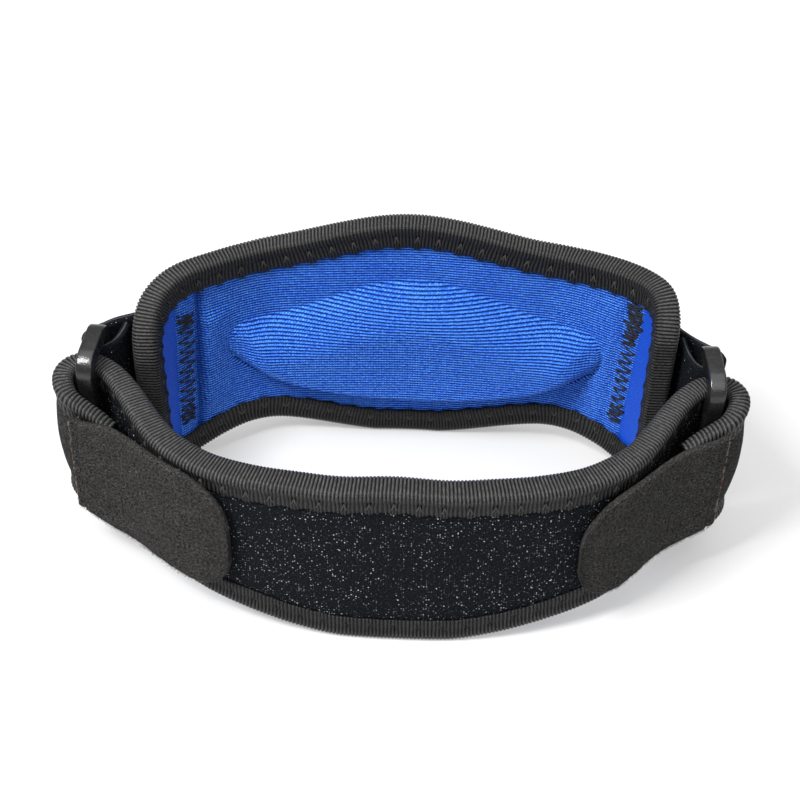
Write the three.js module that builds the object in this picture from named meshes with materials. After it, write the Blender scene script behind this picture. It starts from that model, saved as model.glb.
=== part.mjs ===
// Tennis elbow strap, fastened as worn: a padded rear panel, two plastic rings and a front strap
// whose ends pass through the rings, fold back and are held down by hook tabs.
// Millimetres, +Z up. X runs across, Y from the front strap to the rear panel, the arm along Z.
import * as THREE from 'three';

const object = new THREE.Group();
object.name = 'tennis_elbow_strap';

// Sewn layers
const TAPE = 0.55;
const SEWN_GAP = 0.2;
const LAYER_GAP = 0.25;
const EDGE_INSET = TAPE + SEWN_GAP;
const CUT_EASE = 0.25;
const FOLD_EASE = 0.9;

// Spacing of the sections: largest turn in radians, longest step, and steps round a corner
const STATION_TURN = 0.25;
const STATION_STEP = 6.5;
const CORNER_STEPS = 6;

// A cloth wall stands on a plan line; distances run along it, offsets point away from the arm
function planLine(rows) {
  const stepsPerRow = 80;
  const points = rows.map((row) => new THREE.Vector3(row.x, row.y, 0));
  const line = new THREE.CatmullRomCurve3(points, false, 'centripetal');
  line.arcLengthDivisions = (rows.length - 1) * stepsPerRow;
  const lengths = line.getLengths();
  const length = lengths[lengths.length - 1];
  const marks = rows.map((row, index) => lengths[index * stepsPerRow]);
  const place = (along, offset, height) => {
    const share = THREE.MathUtils.clamp(along / length, 0, 1);
    const point = line.getPointAt(share);
    const heading = line.getTangentAt(share);
    return new THREE.Vector3(point.x + heading.y * offset, point.y - heading.x * offset, height);
  };
  const headingAt = (along) => {
    const heading = line.getTangentAt(THREE.MathUtils.clamp(along / length, 0, 1));
    return Math.atan2(heading.y, heading.x);
  };
  return { length, marks, place, headingAt };
}

// Values of named columns of a table, read smoothly between its rows
function tableReader(marks, rows, columns) {
  const values = rows.flatMap((row) => columns.map((column) => row[column]));
  const reader = new THREE.CubicInterpolant(marks, new Float64Array(values), columns.length);
  return (along) => {
    const result = reader.evaluate(THREE.MathUtils.clamp(along, marks[0], marks[marks.length - 1]));
    return Object.fromEntries(columns.map((column, index) => [column, result[index]]));
  };
}

// Distances along a plan line, closer together where it bends
function stationsAlong(path, from, to) {
  const walk = 0.2;
  const stations = [from];
  let lastHeading = path.headingAt(from);
  for (let along = from + walk; along < to - walk; along += walk) {
    const turn = path.headingAt(along) - lastHeading;
    const bent = Math.abs(Math.atan2(Math.sin(turn), Math.cos(turn)));
    if (bent > STATION_TURN || along - stations[stations.length - 1] > STATION_STEP) {
      stations.push(along);
      lastHeading = path.headingAt(along);
    }
  }
  stations.push(to);
  return stations;
}

// How the soft band has settled: the panel's ends are shifted back or forward, and the fastened
// ends lean sideways. Each shift is given at the top and at the foot of its side.
const TWIST = { start: 22, full: 46, fade: 50, end: 56, front: 2, rear: 7 };
const LEAN = { start: 38, full: 57 };
const SETTLED_HEIGHT = 38;
const MIDDLE_SHIFT = 0.7;
const SETTLED = {
  left: { leanTop: -0.2, leanFoot: 0.6, twistTop: -1.2, twistFoot: -1.8 },
  right: { leanTop: 0.2, leanFoot: -2.4, twistTop: 1.2, twistFoot: -1 },
};

function settled(point) {
  const { smoothstep, lerp } = THREE.MathUtils;
  const out = Math.abs(point.x);
  const side = point.x < 0 ? SETTLED.left : SETTLED.right;
  const rise = point.z / SETTLED_HEIGHT;
  const lean = lerp(side.leanFoot, side.leanTop, rise);
  const leanShare = smoothstep(out, LEAN.start, LEAN.full);
  const twist = lerp(side.twistFoot, side.twistTop, rise);
  const panelEnds = smoothstep(out, TWIST.start, TWIST.full) - smoothstep(out, TWIST.fade, TWIST.end);
  const twistShare = panelEnds * smoothstep(point.y, TWIST.front, TWIST.rear);
  return new THREE.Vector3(
    point.x + lerp(MIDDLE_SHIFT, lean, leanShare), point.y + twist * twistShare, point.z);
}

function cloth(colour, roughness) {
  return new THREE.MeshStandardMaterial({ color: colour, roughness, metalness: 0 });
}

function signedVolume(points, faces) {
  let sum = 0;
  for (const [a, b, c] of faces) {
    sum += points[a].dot(new THREE.Vector3().crossVectors(points[b], points[c]));
  }
  return sum / 6;
}

function addSolid(name, points, faces, material) {
  const outward = signedVolume(points, faces) > 0;
  const geometry = new THREE.BufferGeometry().setFromPoints(points.map(settled));
  geometry.setIndex(faces.flatMap(([a, b, c]) => (outward ? [a, b, c] : [a, c, b])));
  geometry.computeVertexNormals();
  const mesh = new THREE.Mesh(geometry, material);
  mesh.name = name;
  object.add(mesh);
}

// Skin over a row of matching section loops, closed on itself or capped at both ends
function addSweep(name, loops, section, material) {
  const size = loops[0].length;
  const count = loops.length;
  const capped = section !== null;
  const points = loops.flat();
  const faces = [];
  const spans = capped ? count - 1 : count;
  for (let i = 0; i < spans; i += 1) {
    const here = i * size;
    const next = ((i + 1) % count) * size;
    for (let j = 0; j < size; j += 1) {
      const k = (j + 1) % size;
      faces.push([here + j, here + k, next + k], [here + j, next + k, next + j]);
    }
  }
  if (capped) {
    const last = (count - 1) * size;
    const contourTurn = Math.sign(THREE.ShapeUtils.area(section));
    for (const [a, b, c] of THREE.ShapeUtils.triangulateShape(section, [])) {
      const triangleTurn = Math.sign(THREE.ShapeUtils.area([section[a], section[b], section[c]]));
      const [p, q, r] = triangleTurn === contourTurn ? [a, b, c] : [a, c, b];
      faces.push([p, r, q], [last + p, last + q, last + r]);
    }
  }
  addSolid(name, points, faces, material);
}

// Flat strip section with eased corners: offsets across, heights up
function stripSection(inner, outer, low, high) {
  const ease = CUT_EASE;
  return [
    [inner + ease, low], [outer - ease, low], [outer, low + ease], [outer, high - ease],
    [outer - ease, high], [inner + ease, high], [inner, high - ease], [inner, low + ease],
  ];
}

// A section point may also carry a small shift along the line, for an end that is cut on the slant
function addStrip(name, path, stations, sectionAt, material) {
  const sections = stations.map((along) => sectionAt(along));
  const loops = stations.map((along, i) => sections[i].map(([d, z, shift = 0]) => (
    path.place(along + shift, d, z))));
  addSweep(name, loops, sections[0].map(([d, z]) => new THREE.Vector2(d, z)), material);
}

// Tape folded over an edge: offsets across the wall, depths in from the edge
function tapeSection(thick, depth) {
  const half = thick / 2;
  const ease = Math.min(FOLD_EASE, half / 2);
  const slot = half - TAPE;
  const midway = depth / 2;
  return [
    [half, depth], [half, midway], [half, ease], [half - ease, 0],
    [ease - half, 0], [-half, ease], [-half, midway], [-half, depth],
    [-slot, depth], [-slot, midway], [-slot, TAPE], [slot, TAPE], [slot, midway], [slot, depth],
  ];
}

// Half height lost to a rounded corner, a distance in from a strip's end
function cornerLoss(fromEnd, radius) {
  const inside = Math.max(0, radius - fromEnd);
  return radius - Math.sqrt(Math.max(0, radius * radius - inside * inside));
}

// Distances in from an end that follow a rounded corner
function cornerSteps(radius) {
  const steps = [];
  for (let i = 0; i <= CORNER_STEPS; i += 1) {
    steps.push(radius * (1 - Math.cos((i / CORNER_STEPS) * Math.PI / 2)));
  }
  return steps;
}

function mirroredRows(rows) {
  const left = rows.slice(1).reverse().map((row) => ({ ...row, x: -row.x }));
  return [...left, ...rows];
}

// Front strap: one row per bend from the front centre, through the ring, round its front bar and back
const STRAP_ROWS = [
  { x: 0, y: -27.8, width: 40, middle: 20, thick: 4.8 },
  { x: 10, y: -27.5, width: 39.2, middle: 19.6, thick: 4.8 },
  { x: 18, y: -26.5, width: 37.8, middle: 20.1, thick: 4.8 },
  { x: 26, y: -24.7, width: 35.5, middle: 20.6, thick: 4.8 },
  { x: 34, y: -21.9, width: 33.4, middle: 21.2, thick: 4.8 },
  { x: 39, y: -19, width: 32.4, middle: 21.7, thick: 4.8 },
  { x: 43.3, y: -15.3, width: 31.6, middle: 22.2, thick: 4.6 },
  { x: 47.4, y: -9.6, width: 30.9, middle: 23, thick: 4.3 },
  { x: 50.6, y: -4.4, width: 30.3, middle: 23.7, thick: 4 },
  { x: 53.4, y: -0.7, width: 29.8, middle: 24.3, thick: 3.8 },
  { x: 56.2, y: 1.6, width: 29.4, middle: 24.7, thick: 3.8 },
  { x: 59, y: 2.5, width: 29.2, middle: 25, thick: 3.7 },
  { x: 61.4, y: 1.6, width: 29.2, middle: 25.1, thick: 3.6 },
  { x: 62.8, y: -0.6, width: 29, middle: 25, thick: 3.5 },
  { x: 62.6, y: -3.4, width: 28.6, middle: 24.7, thick: 3.3 },
  { x: 61.2, y: -5.6, width: 27.8, middle: 24.2, thick: 3 },
  { x: 58.5, y: -7, width: 26.4, middle: 23.5, thick: 2.7 },
  { x: 55.5, y: -8.3, width: 24.6, middle: 22.9, thick: 2.6 },
  { x: 53, y: -9.4, width: 21.8, middle: 22.4, thick: 2.6 },
];
const STRAP_TAPE_DEPTH = 5.2;
const strapRows = mirroredRows(STRAP_ROWS);
const strapLine = planLine(strapRows);
const strapSize = tableReader(strapLine.marks, strapRows, ['width', 'middle', 'thick']);
const strapStations = stationsAlong(strapLine, 0, strapLine.length);

function strapEdges(along) {
  const { width, middle, thick } = strapSize(along);
  return { low: Math.max(0, middle - width / 2), high: middle + width / 2, thick };
}

addStrip('front_strap', strapLine, strapStations, (along) => {
  const { low, high, thick } = strapEdges(along);
  const half = thick / 2 - EDGE_INSET;
  return stripSection(-half, half, low + EDGE_INSET, high - EDGE_INSET);
}, cloth(0x15161c, 0.95));

addStrip('strap_binding_top', strapLine, strapStations, (along) => {
  const { high, thick } = strapEdges(along);
  return tapeSection(thick, STRAP_TAPE_DEPTH).map(([d, depth]) => [d, high - depth]);
}, cloth(0x0c0c0e, 0.75));

addStrip('strap_binding_bottom', strapLine, strapStations, (along) => {
  const { low, thick } = strapEdges(along);
  return tapeSection(thick, STRAP_TAPE_DEPTH).map(([d, depth]) => [d, low + depth]);
}, cloth(0x0c0c0e, 0.75));

// Rear panel: a wall with a raised-cosine bulge at mid length and rounded ends
const PANEL_ROWS = [
  { x: 0, y: 28.1 },
  { x: 12, y: 27.6 },
  { x: 22, y: 26.9 },
  { x: 28.3, y: 26.2 },
  { x: 32.7, y: 24.9 },
  { x: 37.1, y: 22.9 },
  { x: 41.5, y: 20.5 },
  { x: 45.3, y: 17.7 },
  { x: 48, y: 14.4 },
  { x: 49.1, y: 10.9 },
  { x: 49.1, y: 7.7 },
];
const PANEL = { middle: 27.2, tilt: 0.5, endHeight: 44.5, bulge: 10.9, bulgeReach: 34, tapeDepth: 5.6 };
const PANEL_CORNERS = { left: { top: 16, foot: 9 }, right: { top: 9.5, foot: 8 } };
const PANEL_DROP = 2.4;
const BACK_THICK = 1.4;
const LINING_THICK = 1.0;
const PANEL_THICK = BACK_THICK + LAYER_GAP + LINING_THICK + 2 * EDGE_INSET;
const BACK_OUTER = PANEL_THICK / 2 - EDGE_INSET;
const BACK_INNER = BACK_OUTER - BACK_THICK;
const LINING_OUTER = BACK_INNER - LAYER_GAP;
const panelLine = planLine(mirroredRows(PANEL_ROWS).reverse());
const panelHalf = panelLine.length / 2;

function panelMiddle(fromMiddle) {
  return PANEL.middle - PANEL.tilt * fromMiddle / panelHalf;
}

function cornerRadius(fromMiddle, edge) {
  return (fromMiddle > 0 ? PANEL_CORNERS.left : PANEL_CORNERS.right)[edge];
}

// Half height of the panel's outline drawn in by an inset, at a distance from mid length
function panelReach(fromMiddle, inset, edge) {
  const share = Math.min(1, Math.abs(fromMiddle) / PANEL.bulgeReach);
  const bulge = PANEL.bulge * Math.cos(share * Math.PI / 2) ** 2;
  const loss = cornerLoss(panelHalf - inset - Math.abs(fromMiddle), cornerRadius(fromMiddle, edge) - inset);
  return (PANEL.endHeight + bulge) / 2 - inset - loss;
}

// The lower edge hangs a little at both ends
function endDrop(fromMiddle) {
  const cornerStart = panelHalf - cornerRadius(fromMiddle, 'foot');
  return PANEL_DROP * THREE.MathUtils.smoothstep(Math.abs(fromMiddle), PANEL.bulgeReach, cornerStart);
}

function panelLow(fromMiddle, inset) {
  const low = panelMiddle(fromMiddle) - panelReach(fromMiddle, inset, 'foot') - endDrop(fromMiddle);
  return Math.max(inset, low);
}

function panelHigh(fromMiddle, inset) {
  return panelMiddle(fromMiddle) + panelReach(fromMiddle, inset, 'top');
}

// Distances from mid length, closer together at the rounded ends
function panelColumns(inset) {
  const reach = panelHalf - inset;
  const [left, right] = [PANEL_CORNERS.left.top - inset, PANEL_CORNERS.right.top - inset];
  const leftCorner = cornerSteps(left).map((step) => reach - step).reverse();
  const rightCorner = cornerSteps(right).map((step) => step - reach);
  const straight = stationsAlong(panelLine, panelHalf - reach + right, panelHalf + reach - left);
  const middles = straight.slice(1, -1).map((along) => along - panelHalf);
  return [...rightCorner, ...middles, ...leftCorner];
}

addStrip('panel_back', panelLine, panelColumns(EDGE_INSET).map((column) => column + panelHalf), (along) => {
  const low = panelLow(along - panelHalf, EDGE_INSET);
  const high = panelHigh(along - panelHalf, EDGE_INSET);
  return stripSection(BACK_INNER, BACK_OUTER, low, high);
}, cloth(0x131418, 0.95));

// Pressure pad: a lens under the lining, thick at its centre and thin at its rim
// It is fuller below the height of its tips; above, it follows the panel's bulge
const PAD = { centre: -1.3, tips: 28.2, reach: 38.8, height: 5.6, rim: 0.8, skirt: 2.2 };
const PAD_UPPER = { ends: 6.2, bulge: 8.2, bulgeReach: 33, corner: 5.5 };
const PAD_LOWER = { fullHeight: 18.3, bluntness: 2.3 };
const PAD_TIP = { halfHeight: 1.2, step: 1.1 };
const PAD_POWERS = { lengthwise: 3.5, upward: 2.6 };
const PAD_ROW_SHARES = [-1, -0.72, -0.36, 0, 0.36, 0.72, 1];
const PAD_CLEARANCE = 0.3;

function padShare(fromMiddle) {
  return Math.min(1, Math.abs(fromMiddle - PAD.centre) / PAD.reach);
}

function padUpper(fromMiddle) {
  const out = Math.abs(fromMiddle - PAD.centre);
  const bulge = PAD_UPPER.bulge * Math.cos(Math.min(1, out / PAD_UPPER.bulgeReach) * Math.PI / 2) ** 2;
  const loss = cornerLoss(Math.max(0, PAD.reach - out), PAD_UPPER.corner);
  return Math.max(PAD_TIP.halfHeight, PAD_UPPER.ends + bulge - loss);
}

function padLower(fromMiddle) {
  const lower = PAD_LOWER.fullHeight * Math.sqrt(1 - padShare(fromMiddle) ** PAD_LOWER.bluntness);
  return Math.max(PAD_TIP.halfHeight, lower);
}

// Height at a row share that runs from -1 on the pad's lower edge to 1 on its upper edge
function padHeight(fromMiddle, rowShare) {
  return PAD.tips + rowShare * (rowShare < 0 ? padLower(fromMiddle) : padUpper(fromMiddle));
}

function padRise(fromMiddle, rowShare) {
  const lengthwise = 1 - padShare(fromMiddle) ** PAD_POWERS.lengthwise;
  const upward = 1 - Math.abs(rowShare) ** PAD_POWERS.upward;
  return PAD.rim + (PAD.height - PAD.rim) * lengthwise * upward;
}

// Solid between two sheets of matching points, given as columns of [inner, outer] pairs
function addShell(name, columns, material) {
  const count = columns.length;
  const rows = columns[0].length;
  const points = [];
  for (const side of [0, 1]) {
    for (const column of columns) {
      for (const pair of column) {
        points.push(pair[side]);
      }
    }
  }
  const outer = count * rows;
  const faces = [];
  const wall = (p, q) => faces.push([q, p, p + outer], [q, p + outer, q + outer]);
  for (let i = 0; i < count - 1; i += 1) {
    for (let j = 0; j < rows - 1; j += 1) {
      const [a, b, c, d] = [i * rows + j, (i + 1) * rows + j, (i + 1) * rows + j + 1, i * rows + j + 1];
      faces.push([a, b, c], [a, c, d]);
      faces.push([a + outer, c + outer, b + outer], [a + outer, d + outer, c + outer]);
    }
    wall(i * rows, (i + 1) * rows);
    wall((i + 1) * rows + rows - 1, i * rows + rows - 1);
  }
  for (let j = 0; j < rows - 1; j += 1) {
    wall(j + 1, j);
    wall((count - 1) * rows + j, (count - 1) * rows + j + 1);
  }
  addSolid(name, points, faces, material);
}

const padEnds = [PAD.centre - PAD.reach, PAD.centre + PAD.reach];
const padColumns = [
  padEnds[0],
  padEnds[0] + PAD_TIP.step,
  ...panelColumns(EDGE_INSET).filter((column) => (
    column > padEnds[0] + 2 * PAD_TIP.step && column < padEnds[1] - 2 * PAD_TIP.step)),
  padEnds[1] - PAD_TIP.step,
  padEnds[1],
];

addShell('pressure_pad', padColumns.map((column) => PAD_ROW_SHARES.map((share) => {
  const height = padHeight(column, share);
  const inner = LINING_OUTER - padRise(column, share) + PAD_CLEARANCE;
  return [
    panelLine.place(column + panelHalf, inner, height),
    panelLine.place(column + panelHalf, LINING_OUTER, height),
  ];
})), cloth(0x1c1d22, 0.9));

const liningColumns = [
  ...panelColumns(EDGE_INSET).filter((column) => column < padEnds[0] - PAD.skirt - 1),
  padEnds[0] - PAD.skirt,
  ...padColumns,
  padEnds[1] + PAD.skirt,
  ...panelColumns(EDGE_INSET).filter((column) => column > padEnds[1] + PAD.skirt + 1),
];

addShell('panel_lining', liningColumns.map((column) => {
  const overPad = column >= padEnds[0] && column <= padEnds[1];
  const heights = [
    panelLow(column, EDGE_INSET),
    padHeight(column, -1) - PAD.skirt,
    ...PAD_ROW_SHARES.map((share) => padHeight(column, share)),
    padHeight(column, 1) + PAD.skirt,
    panelHigh(column, EDGE_INSET),
  ];
  const rises = [0, 0, ...PAD_ROW_SHARES.map((share) => (overPad ? padRise(column, share) : 0)), 0, 0];
  return heights.map((height, row) => [
    panelLine.place(column + panelHalf, LINING_OUTER - LINING_THICK - rises[row], height),
    panelLine.place(column + panelHalf, LINING_OUTER - rises[row], height),
  ]);
}), cloth(0x1d3fd0, 0.6));

// Binding round the panel: the edge is walked once round, and the tape folds in from it
function panelEdge() {
  const cornerStart = (sideways, edge) => sideways * (panelHalf - cornerRadius(sideways, edge));
  const between = (edge) => panelColumns(0).filter((column) => (
    column > cornerStart(-1, edge) + 1 && column < cornerStart(1, edge) - 1));
  const bottom = between('foot').map((column) => [column, panelLow(column, 0)]);
  const top = between('top').map((column) => [column, panelHigh(column, 0)]).reverse();
  const corner = (sideways, edge, from) => cornerSteps(1).map((unused, step) => {
    const angle = from + (step / CORNER_STEPS) * Math.PI / 2;
    const radius = cornerRadius(sideways, edge);
    const upward = edge === 'top' ? 1 : -1;
    const column = cornerStart(sideways, edge) + radius * Math.cos(angle);
    const reach = upward * (PANEL.endHeight / 2 - radius) + radius * Math.sin(angle);
    return [column, panelMiddle(column) + reach - (edge === 'top' ? 0 : PANEL_DROP)];
  });
  return [
    ...bottom,
    ...corner(1, 'foot', -Math.PI / 2),
    ...corner(1, 'top', 0),
    ...top,
    ...corner(-1, 'top', Math.PI / 2),
    ...corner(-1, 'foot', Math.PI),
  ];
}

const edgePoints = panelEdge();
const panelTape = tapeSection(PANEL_THICK, PANEL.tapeDepth);
addSweep('panel_binding', edgePoints.map(([column, height], i) => {
  const before = edgePoints[(i + edgePoints.length - 1) % edgePoints.length];
  const after = edgePoints[(i + 1) % edgePoints.length];
  const span = Math.hypot(after[0] - before[0], after[1] - before[1]);
  const inward = [-(after[1] - before[1]) / span, (after[0] - before[0]) / span];
  return panelTape.map(([d, depth]) => (
    panelLine.place(column + inward[0] * depth + panelHalf, d, height + inward[1] * depth)));
}), null, cloth(0x0c0c0e, 0.75));

// Plastic rings: a round-edged bar swept round an upright rounded rectangle
const RING = { frontX: 58.3, frontY: -2.3, rearX: 57.3, rearY: 8.3, middle: 24.8, height: 38, bar: 3.2 };
const RING_CORNER = 2.6;
const RING_SIDES = 8;

function addRing(name, side) {
  const reach = Math.hypot(RING.rearX - RING.frontX, RING.rearY - RING.frontY) / 2;
  const rise = (RING.height - RING.bar) / 2;
  const along = new THREE.Vector3(side * (RING.rearX - RING.frontX), RING.rearY - RING.frontY, 0);
  along.normalize();
  const across = new THREE.Vector3(along.y, -along.x, 0);
  const centre = new THREE.Vector3(
    side * (RING.rearX + RING.frontX) / 2, (RING.rearY + RING.frontY) / 2, RING.middle);
  const loops = [];
  for (const [forward, upward, from] of [[1, -1, -1], [1, 1, 0], [-1, 1, 1], [-1, -1, 2]]) {
    for (let step = 0; step <= CORNER_STEPS; step += 1) {
      const angle = (from + step / CORNER_STEPS) * Math.PI / 2;
      const outward = [Math.cos(angle), Math.sin(angle)];
      const middle = [
        forward * (reach - RING_CORNER) + RING_CORNER * outward[0],
        upward * (rise - RING_CORNER) + RING_CORNER * outward[1],
      ];
      const loop = [];
      for (let k = 0; k < RING_SIDES; k += 1) {
        const turn = (k + 0.5) * 2 * Math.PI / RING_SIDES;
        const size = RING.bar / 2 / Math.cos(Math.PI / RING_SIDES);
        const out = size * Math.cos(turn);
        const point = centre.clone().addScaledVector(along, middle[0] + out * outward[0]);
        point.addScaledVector(across, size * Math.sin(turn));
        point.z += middle[1] + out * outward[1];
        loop.push(point);
      }
      loops.push(loop);
    }
  }
  const plastic = new THREE.MeshStandardMaterial({ color: 0x111113, roughness: 0.35, metalness: 0 });
  addSweep(name, loops, null, plastic);
}
addRing('left_ring', -1);
addRing('right_ring', 1);

// Ring tabs: a strip from the panel's outer face, round the ring's rear bar and back to the panel's end
const RING_TAB_ROWS = [
  { x: 43.5, y: 22.9 },
  { x: 47.4, y: 19.9 },
  { x: 50.9, y: 16.9 },
  { x: 54, y: 14.4 },
  { x: 56.9, y: 12.4 },
  { x: 59.3, y: 10.6 },
  { x: 60.3, y: 8.2 },
  { x: 59.4, y: 6.1 },
  { x: 57.2, y: 5.4 },
  { x: 55.4, y: 6.6 },
  { x: 54.1, y: 8.9 },
  { x: 53.3, y: 11.4 },
  { x: 53, y: 13.2 },
];
const RING_TAB = { thick: 1.3, width: 29.5, middle: 24.8 };

function addRingTab(name, side) {
  const line = planLine(RING_TAB_ROWS.map((row) => ({ x: side * row.x, y: row.y })));
  const section = stripSection(
    -RING_TAB.thick / 2, RING_TAB.thick / 2,
    RING_TAB.middle - RING_TAB.width / 2, RING_TAB.middle + RING_TAB.width / 2);
  addStrip(name, line, stationsAlong(line, 0, line.length), () => section, cloth(0x131418, 0.95));
}
addRingTab('left_ring_tab', -1);
addRingTab('right_ring_tab', 1);

// Hook tabs: from the seam on the folded-back strap end, onto the strap's front face
const HOOK_TAB_ROWS = [
  { x: 62.7, y: -7.5 },
  { x: 59.6, y: -9.5 },
  { x: 56.4, y: -11.1 },
  { x: 53, y: -12.8 },
  { x: 49.7, y: -15.1 },
  { x: 46.2, y: -18.1 },
  { x: 41.2, y: -22 },
  { x: 35.5, y: -25.3 },
  { x: 28.75, y: -27.85 },
];
const HOOK_TAB = { thick: 1.2, seamWidth: 24.5, flareLength: 10, endRadius: 10 };

function addHookTab(name, side, { start, reach, freeWidth, seamMiddle, droop, seamSlant }) {
  const line = planLine(HOOK_TAB_ROWS.map((row) => ({ x: side * row.x, y: row.y })));
  const corner = cornerSteps(HOOK_TAB.endRadius).map((step) => reach - step).reverse();
  const straight = stationsAlong(line, start, reach - HOOK_TAB.endRadius).slice(0, -1);
  const half = HOOK_TAB.thick / 2;
  addStrip(name, line, [...straight, ...corner], (along) => {
    const flare = THREE.MathUtils.smoothstep(along, start, start + HOOK_TAB.flareLength);
    const width = THREE.MathUtils.lerp(HOOK_TAB.seamWidth, freeWidth, flare);
    const halfWidth = width / 2 - cornerLoss(reach - along, HOOK_TAB.endRadius);
    const middle = seamMiddle - droop * along / reach;
    const slant = seamSlant * (1 - along / reach) / width;
    const section = stripSection(-half, half, middle - halfWidth, middle + halfWidth);
    return section.map(([d, z]) => [d, z, slant * (middle + halfWidth - z)]);
  }, cloth(0x2b2b30, 0.9));
}
addHookTab('left_hook_tab', -1, {
  start: 2.2, reach: 38, freeWidth: 28.4, seamMiddle: 22.2, droop: 0.2, seamSlant: -1.6,
});
addHookTab('right_hook_tab', 1, {
  start: 2.2, reach: 34.5, freeWidth: 26, seamMiddle: 24.2, droop: 4.4, seamSlant: -1.4,
});

export default object;
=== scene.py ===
import math

import bpy
import numpy as np
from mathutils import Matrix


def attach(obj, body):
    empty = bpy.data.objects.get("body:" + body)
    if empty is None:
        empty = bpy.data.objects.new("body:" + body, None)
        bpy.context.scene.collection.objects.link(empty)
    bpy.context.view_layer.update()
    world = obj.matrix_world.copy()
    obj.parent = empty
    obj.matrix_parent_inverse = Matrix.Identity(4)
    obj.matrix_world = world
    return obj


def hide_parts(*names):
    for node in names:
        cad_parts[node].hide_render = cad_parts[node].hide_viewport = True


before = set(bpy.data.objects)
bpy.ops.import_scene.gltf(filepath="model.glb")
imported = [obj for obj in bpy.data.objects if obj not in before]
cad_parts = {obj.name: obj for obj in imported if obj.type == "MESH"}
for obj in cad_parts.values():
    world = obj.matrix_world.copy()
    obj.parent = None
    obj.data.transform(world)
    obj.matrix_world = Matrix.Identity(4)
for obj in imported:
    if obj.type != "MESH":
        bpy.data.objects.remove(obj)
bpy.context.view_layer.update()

# Panel back: the outer cloth of the rear panel, black loop-pile fabric 1.4 mm thick.
# It is cut to a rounded outline with a raised middle, bent round the arm, and sewn in by the binding.
MM = 0.001
CLOTH_MAP = "cloth_mm"
PANEL_BENDS = [  # x and y of the panel's mid line, from its middle to one end
    (0, 28.1), (12, 27.6), (22, 26.9), (28.3, 26.2), (32.7, 24.9), (37.1, 22.9),
    (41.5, 20.5), (45.3, 17.7), (48, 14.4), (49.1, 10.9), (49.1, 7.7),
]
PANEL_MIDDLE = 27.2
PANEL_TILT = 0.5
PANEL_END_HEIGHT = 44.5
PANEL_BULGE = 10.9
PANEL_BULGE_REACH = 34.0
PANEL_CORNERS = {"left": dict(top=16.0, foot=9.0), "right": dict(top=9.5, foot=8.0)}
PANEL_DROP = 2.4
SETTLED_HEIGHT = 38.0
MIDDLE_SHIFT = 0.7
# Shifts of the settled band on its left and its right, each at the foot and at the settled height
LEAN = ((0.6, -0.2), (-2.4, 0.2))  # sideways
TWIST = ((-1.8, -1.2), (-1.0, 1.2))  # backwards
# Where the shifts set in and fade out, by distance from mid length, and by depth for the twist
LEAN_SETS_IN = (38, 57)
TWIST_SETS_IN = (22, 46)
TWIST_FADES = (50, 56)
TWIST_DEPTH = (2, 7)
BACK_OUTER = 1.325
BACK_INNER = -0.075
CUT_INSET = 1.1
BACK_ROWS = 44
BACK_STEP = 1.2
BACK_CROWN = 0.25
BACK_UNEVEN = 0.05
CLOTH_SINK = 0.2
BACK_PILE = dict(end_margin=6, edge_margin=6.2, width=44, spacing=1.25, loop=0.6, lift=0.32)
PILE_STRAND = 0.05
# Share of the pile's loops coloured pale as painted highlights
PAINTED_SHINING_LOOPS = 0.015
PILE_DARK = (0.0014, 0.0018, 0.0028, 1)
PILE_LIGHT = (0.0105, 0.0125, 0.0170, 1)
# Pale colour of the painted glints, standing in for highlights on the fibres
PILE_PAINTED_GLINT = (0.88, 0.92, 0.95, 1)


def plan_line(rows):
    """Smooth line through rows of x, y and further columns: its distances, its points and its headings."""
    rows = np.array(rows, float)
    ends = np.vstack([2 * rows[0] - rows[1], rows, 2 * rows[-1] - rows[-2]])
    share = np.linspace(0, 1, 60, endpoint=False)[:, None]
    spans = []
    for before, start, end, after in zip(ends, ends[1:], ends[2:], ends[3:]):
        pairs = ((before, start), (start, end), (end, after))
        lead, gap, tail = (np.linalg.norm((b - a)[:2]) ** 0.5 for a, b in pairs)
        leave = ((start - before) / lead - (end - before) / (lead + gap) + (end - start) / gap) * gap
        arrive = ((end - start) / gap - (after - start) / (gap + tail) + (after - end) / tail) * gap
        bend = 3 * (end - start) - 2 * leave - arrive
        twist = 2 * (start - end) + leave + arrive
        spans.append(start + leave * share + bend * share ** 2 + twist * share ** 3)
    trail = np.vstack(spans + [rows[-1:]])
    steps = np.linalg.norm(np.diff(trail[:, :2], axis=0), axis=1)
    along = np.concatenate([[0.0], np.cumsum(steps)])
    heading = np.gradient(trail[:, :2], along, axis=0)
    heading /= np.linalg.norm(heading, axis=1, keepdims=True)
    return along, trail, heading


def smooth_share(value, low, high):
    share = np.clip((value - low) / (high - low), 0, 1)
    return share * share * (3 - 2 * share)


def settled(x, y, height):
    """Points of the band as it has settled, in metres: the panel's ends turn, the fastened ends lean."""
    rise = height / SETTLED_HEIGHT
    lean, twist = (
        np.where(x < 0, *(foot + (top - foot) * rise for foot, top in sides)) for sides in (LEAN, TWIST))
    out = np.abs(x)
    fastened = smooth_share(out, *LEAN_SETS_IN)
    turned = smooth_share(out, *TWIST_SETS_IN) - smooth_share(out, *TWIST_FADES)
    turned = turned * smooth_share(y, *TWIST_DEPTH)
    shifted = x + MIDDLE_SHIFT + (lean - MIDDLE_SHIFT) * fastened
    return np.stack(np.broadcast_arrays(shifted, y + twist * turned, height), -1) * MM


def on_wall(line, along, offset, height):
    """Points of an upright cloth wall on a plan line, in metres; offset points away from the arm."""
    marks, trail, heading = line
    x, y = (np.interp(along, marks, trail[:, k]) for k in (0, 1))
    run_x, run_y = (np.interp(along, marks, heading[:, k]) for k in (0, 1))
    return settled(x + run_y * offset, y - run_x * offset, height)


def mirrored(rows):
    return [(-row[0], *row[1:]) for row in rows[:0:-1]] + list(rows)


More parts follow.
